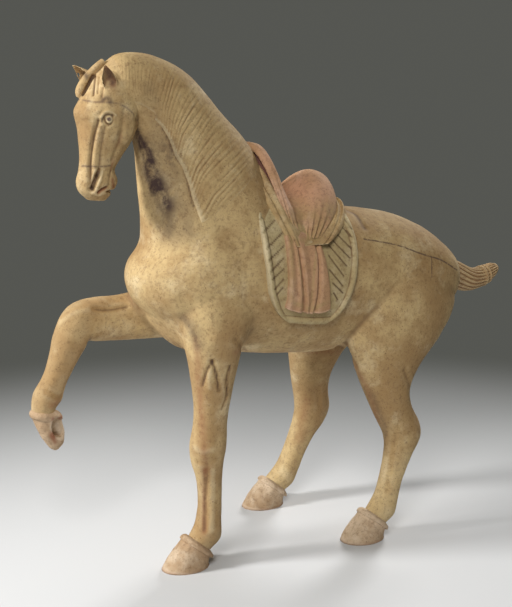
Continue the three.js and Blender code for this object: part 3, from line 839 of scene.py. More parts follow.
@dataclass
class Mane:
    """The combed mane, in fine locks down both sides of the neck to an incised edge."""

    start: float = 0.335
    end: float = 0.93
    locks: float = 66.0
    depth: float = 0.9
    rise: float = 0.9
    edge: tuple[tuple[float, float], ...] = (
        (0.3, 118.0), (0.38, 115.5), (0.43, 113.0), (0.47, 109.5), (0.52, 108.5), (0.56, 112.0),
        (0.62, 112.5), (0.66, 114.0), (0.75, 124.0), (1.0, 128.0),
    )

    def build(self, tree: BVHTree) -> bpy.types.Object:
        """Combs the mane over the neck.

        Args:
            tree: the skin of the body below it.

        Returns:
            The piece.
        """
        bm = bmesh.new()
        bmesh.ops.create_grid(bm, x_segments=340, y_segments=120, size=0.5)
        flat = np.array([v.co for v in bm.verts])
        t = self.start - 0.03 + (self.end + 0.02 - self.start + 0.03) * (flat[:, 0] + 0.5)
        limits = np.array(self.edge)
        limit = np.interp(t, limits[:, 0], limits[:, 1])
        angle = 2.0 * flat[:, 1] * (limit + 2.0)
        away = np.abs(angle)
        arch = 0.035 * np.sin(math.pi * np.clip((away - 20.0) / 120.0, 0.0, 1.0))
        level = t - arch + 0.02 * smooth_step(away, 92.0, 114.0)
        wander = 0.5 * np.sin(0.07 * away + 41.0 * level) + 0.5 * np.sin(83.0 * level + 0.03 * away)
        phase = math.pi * self.locks * level + wander
        lock = np.abs(np.sin(phase)) ** 0.7
        strand = 0.5 + 0.5 * np.sin(3.0 * phase + 1.3 * np.sin(0.11 * away))
        uneven = 0.75 + 0.35 * np.sin(19.0 * level * math.pi) * np.sin(0.05 * away + 7.0 * level)
        combed = smooth_step(away, 14.0, 70.0) * (1.0 - 0.6 * smooth_step(t, 0.6, 0.78)) * uneven
        soft = smooth_step(t, self.start, self.start + 0.045) * (1.0 - smooth_step(t, 0.86, self.end))
        hard = 1.0 - smooth_step(away, limit - 2.2, limit - 0.4)
        fading = 1.0 - smooth_step(away, limit - 26.0, limit - 2.0)
        side = np.where(t < 0.66, hard, hard + (fading - hard) * smooth_step(t, 0.66, 0.72))
        inside = soft * side
        height = inside * (self.rise + combed * self.depth * (lock - 0.75) + 0.16 * combed * strand)
        skin = NECK.points(t, angle)
        out = np.cross(NECK.points(t + 0.004, angle) - skin, NECK.points(t, angle + 1.0) - skin)
        out = out / np.maximum(np.linalg.norm(out, axis=1), 1e-9)[:, None]
        out = out * np.sign(np.sum(out * (skin - catmull(NECK.rows, t)[:, :3]), axis=1))[:, None]
        points = np.empty_like(skin)
        for k, (place, way) in enumerate(zip(skin, out)):
            hit = tree.ray_cast(Vector(place + 25.0 * way), Vector(-way), 60.0)[0]
            points[k] = hit if hit is not None else place
        shape(bm, points + (height - 1.6 * (1.0 - smooth_step(inside, 0.0, 0.25)))[:, None] * out)
        clay = Clay([capped(bm)])
        clay.face_out()
        shown = smooth_step(clay.measure([Mark(((170, 143), (180, 164), (194, 208)), 9.0, 1.0)]), 0.2, 0.9)
        dress(clay, {
            Layer.STAIN_AND_SHADE: 0.22 * shown + clay.measure(list(NECK_STAINS)),
            Layer.WORN: np.full(len(shown), 0.55),
        }, gain=2.6)
        return clay.finish("mane", BUFF.material())


NECK_STAINS = (
    Mark(((140, 138), (150, 168), (160, 200), (170, 232)), 15.0, 0.62, both=False),
    Mark(((148, 150), (158, 180), (170, 205)), 8.0, 0.5, both=False),
    Mark(((150, 92), (154, 112), (160, 130), (170, 155)), 10.0, 0.3, both=False),
    Mark(((168, 150), (178, 178), (186, 205), (190, 232)), 9.0, 0.36, both=False),
    Mark(((137, 132), (146, 158), (152, 190)), 5.0, 0.6, both=False),
)


@dataclass
class HorseBody:
    """Barrel, chest, neck and the four legs down to the coronets."""

    pitch: float = 2.5
    creases: tuple[tuple[Point, float], ...] = (
        ((-120.0, 0.0, 262.0), 72.0), ((-150.0, 30.0, 285.0), 42.0), ((100.0, 0.0, 250.0), 80.0),
        ((140.0, 0.0, 290.0), 80.0), ((-160.0, 0.0, 395.0), 52.0), ((205.0, 0.0, 285.0), 40.0),
    )
    modelling: tuple[Mark, ...] = (
        Mark(((212, 361), (207, 371), (202, 386)), 1.5, -1.5, both=False),
        Mark(((212, 361), (216, 374), (219, 391)), 1.6, -1.7, both=False),
        Mark(((209, 372), (210, 388)), 2.6, 0.9, both=False),
        Mark(((230, 366), (227, 380), (227, 396), (222, 410)), 1.6, -1.6, both=False),
        Mark(((207, 468), (206, 500), (205, 530)), 2.8, -1.3, both=False),
        Mark(((213, 470), (213, 505), (212, 530)), 2.6, 0.8, both=False),
        Mark(((196, 448), (203, 452), (212, 450)), 4.0, 1.1, both=False),
        Mark(((197, 462), (206, 464), (214, 460)), 3.0, -0.9, both=False),
        Mark(((93, 309), (108, 310), (126, 307)), 2.6, -1.5, both=False),
        Mark(((60, 322), (75, 313), (93, 309)), 3.5, 0.7, both=False),
        Mark(((46, 392), (58, 398), (64, 394)), 2.6, -1.0, both=False),
        Mark(((404, 370), (412, 392), (417, 420)), 3.0, -1.1, both=False),
        Mark(((398, 425), (392, 455), (387, 490)), 3.0, -0.9, both=False),
        Mark(((318, 388), (320, 410)), 3.0, -0.7, both=False),
        Mark(((344, 208), (356, 214), (365, 227)), 4.5, -1.5),
        Mark(((163, 128), (169, 141), (175.5, 156), (183, 168), (188, 184), (194, 206)), 1.3, -1.0),
        Mark(((236, 340), (247, 352), (262, 354)), 4.0, -1.4, both=False),
        Mark(((338, 346), (348, 352), (356, 366)), 4.0, -1.4, both=False),
        Mark(((184, 300), (196, 316), (206, 334)), 9.0, -1.8, both=False),
    )
    strap: tuple[Mark, ...] = (
        Mark(((364, 239), (382, 242), (400, 246), (422, 254), (441, 260), (457, 270)), 1.1, 0.8, flat=True),
        Mark(((431.5, 258), (432, 277)), 0.9, 0.65, flat=True),
    )
    rusts: tuple[Mark, ...] = (
        Mark(((196, 340), (200, 400), (203, 440), (206, 470)), 5.0, 0.45, both=False),
        Mark(((205, 470), (204, 505), (204, 532)), 3.0, 0.6, both=False),
        Mark(((349, 356), (368, 392), (380, 430)), 5.0, 0.5, both=False),
        Mark(((236, 352), (262, 352), (340, 352)), 4.0, 0.35, both=False),
        Mark(((306, 400), (300, 440)), 6.0, 0.3, both=False),
        Mark(((52, 405), (60, 402)), 4.0, 0.6, both=False),
    )
    # Staining and painted shade: darkening in the hollow above the near foreleg, in the groove behind the blanket,
    # along the leg grooves and along the incised mane edge.
    stains_and_groove_shade: tuple[Mark, ...] = (
        Mark(((184, 318), (192, 330), (198, 344)), 7.0, 0.6, both=False),
        Mark(((344, 210), (356, 216), (364, 229)), 3.5, 0.45),
        Mark(((212, 361), (207, 371), (202, 386)), 1.3, 0.5, both=False),
        Mark(((212, 361), (216, 374), (219, 391)), 1.3, 0.6, both=False),
        Mark(((230, 366), (227, 380), (227, 396)), 1.3, 0.6, both=False),
        Mark(((163, 128), (169, 141), (175.5, 156), (183, 168), (188, 184), (194, 206)), 1.4, 0.5),
        Mark(((372, 395), (384, 425), (384, 450)), 5.0, 0.35, both=False),
        Mark(((205, 478), (204, 530)), 1.6, 0.4, both=False),
    )

    def build(self) -> tuple[bpy.types.Object, BVHTree]:
        """Throws, joins and dresses the body.

        Returns:
            The piece, and the search tree of its skin in millimetres.
        """
        parts = [tube(TORSO, 90, 96), tube(BREAST, 60, 96), tube(NECK, 90, 96)]
        parts += [tube(leg, 90, 64) for leg in LEGS.values()]
        clay = Clay(parts, self.pitch)
        clay.relax(4)
        points = clay.points()
        crease = np.zeros(len(points))
        for centre, reach in self.creases:
            away = np.linalg.norm(points - np.array(centre), axis=1)
            crease = np.maximum(crease, 1.0 - smooth_step(away, 0.6 * reach, reach))
        clay.relax(40, crease)
        clay.press(0.55 * ripple(clay.points(), 38.0, 3.7) + 0.3 * ripple(clay.points(), 13.0, 9.1))
        tree = clay.tree()
        for marks, reach in ((self.strap, 4.0), (self.strap, 2.5)):
            wide = [Mark(m.seen, reach, 1.0, m.both, True) for m in marks]
            clay.refine(clay.measure(wide) > 0.1)
        clay.press(clay.measure(list(self.modelling)))
        dress(clay, {
            Layer.PAINT: clay.measure(list(self.strap)),
            Layer.STAIN_AND_SHADE: clay.measure(list(NECK_STAINS + self.stains_and_groove_shade)),
            Layer.RUST: clay.measure(list(self.rusts)),
        }, gain=1.3)
        return clay.finish("horse_body", BUFF.material()), tree


HEAD = Form([
    Station(-218, 533, 262, 10, 14, 15), Station(-220, 525, 263, 17, 24, 21),
    Station(-221, 512, 265, 24, 31, 26), Station(-222, 500, 266, 31, 33, 28.5),
    Station(-223, 489, 266, 36, 33, 29.5), Station(-225, 476, 267, 31, 31, 28),
    Station(-229, 460, 268, 26, 28, 22), Station(-233, 445, 268, 22, 21, 17),
    Station(-236, 433, 268, 20.5, 17, 15), Station(-238, 422, 267, 21.5, 22, 16),
    Station(-240, 411.5, 266, 17.5, 18, 15), Station(-240, 402.5, 266, 8, 10, 10),
])


@dataclass
class Ear:
    """One pricked ear, hollow towards the front."""

    side: Side
    base: Point
    tip: Point
    facing: Point
    widths: tuple[float, ...] = (7.0, 9.5, 10.0, 8.0, 4.5, 0.8)
    wall: float = 2.6
    wrap: float = 118.0
    flatness: float = 0.75

    def build(self) -> bmesh.types.BMesh:
        """Rolls the ear.

        Returns:
            The closed shell.
        """
        bm = bmesh.new()
        bmesh.ops.create_grid(bm, x_segments=28, y_segments=40, size=0.5)
        flat = np.array([v.co for v in bm.verts]) + 0.5
        along, loop = flat[:, 0], flat[:, 1]
        base, tip = np.array(self.base), np.array(self.tip)
        axis = (tip - base) / np.linalg.norm(tip - base)
        front = np.array(self.facing, dtype=float)
        front = front - (front @ axis) * axis
        front /= np.linalg.norm(front)
        across = np.cross(axis, front)
        radius = catmull(np.array(self.widths)[:, None], along)[:, 0]
        outer = loop < 0.5
        turn = np.where(outer, 4.0 * loop - 1.0, 3.0 - 4.0 * loop)
        angle = np.radians(self.wrap * turn)
        thin = self.wall * (1.0 - 0.75 * np.abs(turn)) * (1.0 - 0.5 * along)
        reach = np.where(outer, radius, np.maximum(radius - thin, 0.1))
        points = base + along[:, None] * (tip - base)
        points = points - (self.flatness * reach * np.cos(angle))[:, None] * front
        points = points + (reach * np.sin(angle))[:, None] * across
        shape(bm, points)
        return closed(bm)


@dataclass
class HorseHead:
    """The head with its ears, forelock, eyes, face grooves, nostrils and parted lips."""

    pitch: float = 0.9
    ears: tuple[Ear, ...] = (
        Ear(Side.LEFT, (-227.5, -20.0, 512.0), (-238.0, -27.0, 538.0), (-0.35, -0.9, 0.1),
            (5.0, 7.0, 7.6, 6.2, 3.6, 0.7)),
        Ear(Side.RIGHT, (-228.0, 17.0, 514.0), (-248.5, 29.0, 537.0), (-0.7, -0.45, -0.55),
            (6.5, 8.8, 9.2, 7.2, 4.2, 0.9)),
    )
    eye: Point = (-233.0, 27.2, 484.5)
    brow: Point = (-240.0, 19.0, 493.5)
    forelock: Form = Form([
        Station(-226, 540, 200, 4, 4, 4.5, y=2), Station(-237, 531, 220, 4, 4, 5, y=4),
        Station(-246, 520, 240, 4.5, 4, 5.5, y=6), Station(-250.5, 511, 254, 4.5, 4, 5.5, y=7),
        Station(-252, 505, 262, 2, 2.5, 3, y=7),
    ])
    pressed: tuple[Mark, ...] = (
        Mark(((98, 121), (93.5, 138), (90.5, 161), (90.5, 188)), 2.3, -2.1),
        Mark(((105, 127), (101.5, 145), (100, 160), (99, 170)), 2.4, -1.4),
        Mark(((124.5, 109), (122, 128), (118.5, 145), (112.6, 160)), 3.0, -1.2),
        Mark(((99.5, 170), (97, 176)), 1.7, -2.5),
        Mark(((97, 176), (94, 183), (92, 189)), 2.6, -4.2),
        Mark(((107, 187.5), (102, 190), (98.5, 193)), 1.5, -3.0),
        Mark(((93, 76), (90, 82), (86.5, 89), (83, 95)), 1.4, -2.0, both=False),
        Mark(((95, 76), (94, 86), (93.2, 95)), 1.3, -1.5, both=False),
        Mark(((99, 77), (98, 85), (97.5, 93)), 1.2, -0.9, both=False),
        Mark(((103, 88), (102, 97)), 1.2, -0.7, both=False),
        Mark(((104, 117.5), (106, 123), (110, 124.6), (113.4, 121), (112.6, 115.5)), 1.1, -1.2),
        Mark(((111, 171), (109.5, 181), (109, 188)), 1.6, -0.9),
        Mark(((136.5, 120), (137.5, 130), (134, 140)), 2.2, -1.0),
    )
    raised: tuple[Mark, ...] = (
        Mark(((101.5, 117), (104.5, 112.8), (110, 111.6), (115.5, 115)), 1.7, 1.3),
        Mark(((103, 125), (109, 127.6), (115, 124.5)), 1.8, 0.6),
        Mark(((95.5, 170), (92.5, 178), (90, 187)), 1.5, 0.9),
        Mark(((102, 172), (100, 181), (96.5, 189)), 1.6, 1.0),
        Mark(((93, 193), (100, 195), (106, 193)), 2.4, 0.9),
        Mark(((131.5, 117), (133, 126), (130.5, 136), (126, 143)), 3.4, 0.9),
    )
    straps: tuple[Mark, ...] = (
        Mark(((82.6, 100), (95, 102), (105, 102), (119, 104), (128.4, 109), (133.7, 114.5)), 1.0, 0.7),
        Mark(((82, 166), (92, 166.5), (102, 166.5), (110.5, 165.5)), 1.0, 0.8),
    )
    pupils: tuple[Mark, ...] = (Mark(((108.6, 119.1), (109.4, 119.2)), 2.2, 1.0, flat=True),)
    whites: tuple[Mark, ...] = (Mark(((108.4, 119.6), (109.8, 119.8)), 3.7, 0.5, flat=True),)
    # A real dark mark on the brow, and painted shade: darkening in the nostrils, the face grooves, the groove beside
    # the forelock and the crease above the eye, with dark patches at the ears.
    stains_and_groove_shade: tuple[Mark, ...] = (
        Mark(((103, 99.5), (107, 98), (110, 101)), 2.8, 0.75, both=False),
        Mark(((101.5, 121.5), (103.5, 117), (107, 114.4), (112, 115)), 1.2, 0.8),
        Mark(((98.5, 173), (95.5, 180), (92, 189)), 2.3, 0.9),
        Mark(((98, 121), (93.5, 138), (90.5, 161), (90.5, 188)), 1.5, 0.4),
        Mark(((102.5, 130), (101, 146), (99.5, 165)), 1.6, 0.3),
        Mark(((93, 76), (90, 82), (86.5, 89), (83, 95)), 1.3, 0.75, both=False),
        Mark(((94.6, 78), (93.6, 94)), 0.9, 0.55, both=False),
        Mark(((108, 71), (109.5, 76), (112, 82)), 3.8, 0.8, both=False),
        Mark(((84, 73), (87, 77)), 2.6, 0.85, both=False),
        Mark(((119, 132), (114, 142)), 1.8, 0.3),
        Mark(((137, 116), (138, 128), (134, 139)), 1.6, 0.6),
    )
    rusts: tuple[Mark, ...] = (
        Mark(((112.4, 180), (113.4, 187)), 2.2, 0.95, both=False),
        Mark(((98.5, 192), (102, 190), (105.5, 188)), 1.8, 0.95),
        Mark(((113.5, 160), (110.5, 170)), 1.4, 0.6, both=False),
        Mark(((107, 67), (110, 76), (113, 84)), 4.6, 0.8, both=False),
        Mark(((121, 137), (116, 147)), 2.2, 0.3),
    )
    notch: tuple[Point, Point] = ((-239.0, 0.0, 412.5), (-222.0, 0.0, 410.5))

    def build(self) -> bpy.types.Object:
        """Models and dresses the head.

        Returns:
            The piece.
        """
        parts = [tube(HEAD, 110, 96), tube(self.forelock, 30, 32)]
        parts += [ear.build() for ear in self.ears]
        for side in Side:
            s = side.value
            x, y, z = self.eye
            parts.append(ball((x, s * y, z), (5.0, 3.2, 4.8)))
            x, y, z = self.brow
            parts.append(ball((x, s * y, z), (9.0, 6.5, 4.5), -20.0))
            parts.append(ball((-216.0, s * 15.5, 478.0), (13.0, 12.0, 21.0), 12.0))
            parts.append(ball((-248.0, s * 8.5, 421.0), (5.0, 6.5, 8.0), 10.0))
        clay = Clay(parts, self.pitch)
        clay.relax(5)
        clay.press(clay.measure(list(self.pressed + self.raised)))
        flat = clay.points() * np.array([1.0, 0.0, 1.0])
        mouth = to_polyline(flat, np.array(self.notch), 6.0) / 1.7
        behind = smooth_step(clay.points()[:, 0], -238.0, -228.0)
        clay.press(-3.2 * np.exp(-(mouth**2)) * behind + 0.25 * ripple(clay.points(), 9.0, 5.3))
        clay.relax(1)
        dress(clay, {
            Layer.PAINT: clay.measure(list(self.straps + self.pupils)),
            Layer.STAIN_AND_SHADE: clay.measure(list(self.stains_and_groove_shade)),
            Layer.RUST: clay.measure(list(self.rusts)),
            Layer.PALE: clay.measure(list(self.whites)),
        }, gain=2.6)
        return clay.finish("horse_head", BUFF.material())


class Barrel:
    """The horse's flank, on which the saddlery lies."""

    def __init__(self, tree: BVHTree) -> None:
        """Keeps the skin that the cloths lie on."""
        self.tree = tree
        self.places = np.linspace(0.0, 1.0, 400)
        self.runs = catmull(TORSO.rows, self.places)[:, 0]

    def points(self, x: Array, angle: Array) -> Array:
        """Points of the plain barrel at places along the horse.

        Args:
            x: the places along it.
            angle: degrees round it, 0 on the back and 90 on the left.

        Returns:
            One point a row.
        """
        t = np.interp(-x, -self.runs, self.places)
        return TORSO.points(t, angle)

    def lay(self, x: Array, angle: Array, rise: Array) -> Array:
        """Lays points of a cloth on the flank. Low down it follows the skin, and near the back the plain barrel.

        Args:
            x: their places along the horse.
            angle: degrees round it.
            rise: how far above the skin they lie.

        Returns:
            One point a row.
        """
        here = self.points(x, angle)
        out = np.cross(self.points(x + 1.0, angle) - here, self.points(x, angle + 1.0) - here)
        out = -out / np.linalg.norm(out, axis=1)[:, None]
        start = here + 60.0 * out
        height = np.zeros(len(here))
        for k, (origin, way) in enumerate(zip(start, -out)):
            hit = self.tree.ray_cast(Vector(origin), Vector(way), 90.0)
            height[k] = 60.0 - hit[3] if hit[0] is not None else 0.0
        cling = 0.9 * smooth_step(np.abs(angle), 42.0, 78.0)
        return here + (cling * np.clip(height, -3.0, 12.0) + rise)[:, None] * out


@dataclass
class Blanket:
    """The saddle blanket: a U of cloth on each side, with a rolled rim and incised slanting lines."""

    middle: float = -27.0
    lean: float = 8.0
    half: float = 65.0
    bottom: float = 115.0
    roundness: float = 3.2
    rise: float = 3.0
    roll: float = 3.2
    rim: float = 8.5
    lines: tuple[Mark, ...] = tuple(
        Mark(ends, 0.95, -1.1) for ends in (
            ((260, 220), (270, 207)), ((263, 233), (275, 220)), ((267, 249), (284, 231)),
            ((269, 261), (284, 246)), ((271, 272), (284, 258)), ((272.5, 280), (284, 269)),
            ((275, 289.5), (284, 279)), ((277, 295), (283, 288)),
            ((342, 216), (352, 229)), ((337, 221.5), (352, 237)), ((335, 232), (351, 248)),
            ((329, 236), (350, 258)), ((329, 245), (347, 266)), ((329, 255.5), (344, 276)),
            ((330, 270), (343, 286)), ((333, 283), (343, 293)), ((334, 293), (338, 300)),
        )
    )

    def build(self, barrel: Barrel) -> bpy.types.Object:
        """Lays the blanket over the barrel.

        Args:
            barrel: the flank that carries it.

        Returns:
            The piece.
        """
        bm = bmesh.new()
        bmesh.ops.create_grid(bm, x_segments=130, y_segments=330, size=0.5)
        flat = np.array([v.co for v in bm.verts])
        across = 2.0 * flat[:, 0]
        drop = np.sin(math.pi * flat[:, 1])
        down = self.bottom * drop
        half = self.half * (1.0 - np.abs(drop) ** self.roundness) ** (1.0 / self.roundness)
        middle = self.middle + self.lean * np.cos(np.radians(down))
        inset = np.minimum((1.0 - np.abs(across)) * half, 1.35 * (self.bottom - np.abs(down)))
        bead = np.clip(inset / self.rim, 0.0, 1.0)
        rolled = np.sin(math.pi * bead) ** 0.6 * (bead < 1.0)
        rise = self.rise * smooth_step(inset, -0.5, 2.0) + self.roll * rolled
        rise = rise - 5.0 * (1.0 - smooth_step(inset, 0.0, 1.0))
        shape(bm, barrel.lay(middle + across * half, down, rise))
        clay = Clay([capped(bm)])
        clay.face_out()
        clay.press(clay.measure(list(self.lines)) + 0.2 * ripple(clay.points(), 9.0, 2.9))
        # The incised slanting lines are darkened along their length as painted shade.
        shaded_lines = [Mark(m.seen, 0.8, 0.6) for m in self.lines]
        dress(clay, {Layer.STAIN_AND_SHADE: clay.measure(shaded_lines)}, gain=1.6)
        return clay.finish("saddle_blanket", GREENISH.material())


@dataclass(frozen=True)
class Hoop:
    """One arch of the saddle: its top, how square it is, and its foot."""

    x: float
    z: float
    power: float
    foot_x: float
    foot_y: float
    foot_z: float


@dataclass(frozen=True)
class Canopy:
    """A part of the saddle that runs over the back in arches that fan out from a foot on each side."""

    name: str
    hoops: tuple[Hoop, ...]
    pleats: float = 0.0
    pleat: float = 0.0
    core: float = 320.0
    along: int = 120
    round: int = 120

    def build(self) -> Clay:
        """Lofts the arches.

        Returns:
            The closed piece of clay.
        """
        bm = bmesh.new()
        bmesh.ops.create_grid(bm, x_segments=self.along, y_segments=self.round, size=0.5)
        flat = np.array([v.co for v in bm.verts]) + 0.5
        rows = np.array([[h.x, h.z, h.power, h.foot_x, h.foot_y, h.foot_z] for h in self.hoops])
        top_x, top_z, power, foot_x, foot_y, foot_z = catmull(rows, flat[:, 0]).T
        arch = np.clip(flat[:, 1] / 0.92, 0.0, 1.0)
        out = -np.cos(math.pi * arch)
        up = 1.0 - np.abs(out) ** power
        fold = self.pleat * np.sin(2.0 * math.pi * self.pleats * flat[:, 0]) * (1.0 - up) ** 1.5
        points = np.stack([
            foot_x + (top_x - foot_x) * up**0.9,
            (foot_y + fold) * out,
            foot_z + (top_z - foot_z) * up,
        ], axis=1)
        under = smooth_step(flat[:, 1], 0.92, 1.0)
        keel = np.stack([foot_x, np.zeros(len(flat)), np.full(len(flat), self.core)], axis=1)
        back = smooth_step(flat[:, 1], 0.92, 0.96) * (1.0 - smooth_step(flat[:, 1], 0.96, 1.0))
        lap = np.stack([foot_x, foot_y * (1.0 - 2.0 * under), foot_z], axis=1)
        closing = (flat[:, 1] > 0.92)[:, None]
        points = np.where(closing, lap + back[:, None] * (keel - lap), points)
        shape(bm, points + 0.35 * ripple(points, 12.0, 6.1)[:, None])
        return Clay([closed(bm)])


@dataclass
class Saddle:
    """The saddle under its cloth cover, the two pad strips below it, and the flaps in folds."""

    # A sheet in the hollow under the cover's flared pommel; its dark finish is painted shade.
    shade_lining: Canopy = Canopy(
        "saddle_shade_lining",
        (
            Hoop(-30, 408, 2.4, -26, 52, 348), Hoop(-40, 420, 2.5, -31, 54, 350),
            Hoop(-50, 432, 2.5, -36, 57, 351), Hoop(-57, 440, 2.6, -40.5, 61, 352.5),
            Hoop(-61, 445, 2.6, -42.5, 64.2, 353.5),
        ),
        along=60,
    )
    cover: Canopy = Canopy(
        "saddle_cover",
        (
            Hoop(-60, 444, 2.6, -42, 63.5, 353.5), Hoop(-63.5, 448, 2.6, -44, 65.5, 354),
            Hoop(-61, 453, 2.6, -43, 66.5, 354), Hoop(-56, 453.5, 2.6, -41, 67, 354),
            Hoop(-50, 449, 2.6, -38, 66.5, 354), Hoop(-38, 420, 2.5, -34, 66, 354),
            Hoop(-24, 397, 2.4, -31, 66, 354), Hoop(-10, 396, 2.2, -28, 66, 354),
            Hoop(2, 408, 2.2, -25, 66, 354), Hoop(14, 418, 2.2, -21, 66, 354),
            Hoop(26, 419.5, 2.2, -17, 66, 354), Hoop(37, 413, 2.2, -13, 66, 354),
            Hoop(45, 399, 2.2, -10, 66, 354), Hoop(48, 380, 2.2, -8, 66, 354),
        ),
        pleats=11.0, pleat=1.5,
    )
    pad: Canopy = Canopy(
        "saddle_pad",
        (
            Hoop(-79, 434, 2, -50, 74, 348), Hoop(-75, 440, 2, -47, 75.5, 348),
            Hoop(-71, 437, 2, -44, 74, 348), Hoop(-66, 442, 2, -41, 75.5, 348),
            Hoop(-58, 436, 2, -38, 74, 348), Hoop(-30, 400, 2, -32, 73, 348),
            Hoop(10, 385, 2, -24, 73, 348), Hoop(42, 386, 2, -14, 74, 348),
            Hoop(48, 389, 2, -11, 75.5, 348), Hoop(52, 385, 2, -8, 74, 348),
            Hoop(56, 387, 2, -5, 75.5, 348), Hoop(61, 376, 2, -3, 74, 348),
        ),
        round=90,
    )
    flap_middle: float = -33.0
    flap_half: float = 28.5
    flap_top: float = 50.0
    flap_bottom: float = 105.0
    flap_rise: float = 3.0
    band: tuple[Point, Point] = ((-32.0, 66.0, 349.0), (17.0, 6.0, 4.6))
    folds: tuple[tuple[float, float, float], ...] = (
        (0.0, 0.0, 0.5), (0.06, 0.05, 2.6), (0.14, 0.2, 1.8), (0.2, 0.3, 2.8), (0.27, 0.41, 0.2),
        (0.34, 0.46, 2.8), (0.55, 0.51, 2.0), (0.8, 0.56, 3.0), (0.88, 0.62, 0.0), (0.94, 0.72, 2.6),
        (0.98, 0.95, 1.8), (1.0, 1.0, 0.3),
    )

    faded: tuple[Mark, ...] = (
        Mark(((291, 236), (291, 300)), 4.5, 0.8), Mark(((331, 262), (332, 300)), 4.0, 0.6),
        Mark(((298, 250), (304, 296)), 1.6, 0.9), Mark(((317, 246), (311, 304)), 1.5, 0.9),
        Mark(((294, 303), (312, 308), (328, 302)), 2.5, 0.8), Mark(((292, 240), (318, 240)), 3.0, 0.7),
    )

    def flap(self, side: Side, barrel: Barrel) -> bpy.types.Object:
        """Hangs one flap in its folds.

        Args:
            side: the horse's side.
            barrel: the flank that carries it.

        Returns:
            The piece.
        """
        bm = bmesh.new()
        bmesh.ops.create_grid(bm, x_segments=90, y_segments=90, size=0.5)
        flat = np.array([v.co for v in bm.verts]) + 0.5
        across, down = flat[:, 0], flat[:, 1]
        fold = catmull(np.array(self.folds), across)
        run = fold[:, 0] + (fold[:, 1] - fold[:, 0]) * down
        half = self.flap_half * (0.78 + 0.22 * down)
        column = 2.0 * run - 1.0
        corner = np.maximum(0.0, down - 0.8) * np.abs(column) ** 3 * 14.0
        angle = self.flap_top + (self.flap_bottom - self.flap_top) * down - corner
        edge = np.minimum(np.minimum(across, 1.0 - across) * 25.0, (1.0 - down) * 40.0)
        rise = (self.flap_rise + 1.3 * fold[:, 2]) * np.minimum(1.0, 0.3 + 2.5 * down)
        rise = 2.5 + rise - 8.0 * (1.0 - smooth_step(edge, 0.0, 1.0))
        angle = -side.value * angle
        shape(bm, barrel.lay(self.flap_middle + half * column, angle, rise))
        clay = Clay([capped(bm)])
        clay.face_out()
        clay.press(0.3 * ripple(clay.points(), 8.0, 4.4))
        dress(clay, {Layer.WORN: clay.measure(list(self.faded))}, gain=2.2)
        return clay.finish(f"{side.name.lower()}_flap", PINK.material())

    def build(self, barrel: Barrel) -> list[bpy.types.Object]:
        """Makes the cover, the pads and both flaps.

        Args:
            barrel: the flank that carries them.

        Returns:
            The pieces.
        """
        pieces = []
        # The piece under the pommel takes the dark finish that paints shade.
        for part, finish in ((self.shade_lining, HOLLOW_SHADE), (self.cover, PINK), (self.pad, BUFF)):
            clay = part.build()
            low = 1.0 - smooth_step(clay.points()[:, 2], 372.0, 402.0)
            dress(clay, {Layer.WORN: low if part is self.cover else 0.0 * low}, gain=1.5)
            pieces.append(clay.finish(part.name, finish.material()))
        (x, y, z), reach = self.band
        clay = Clay([ball((x, side.value * y, z), reach) for side in Side])
        clay.press(0.6 * ripple(clay.points(), 5.0, 8.2))
        dress(clay, {}, gain=2.0)
        pieces.append(clay.finish("gather_band", BUFF.material()))
        return pieces + [self.flap(side, barrel) for side in Side]


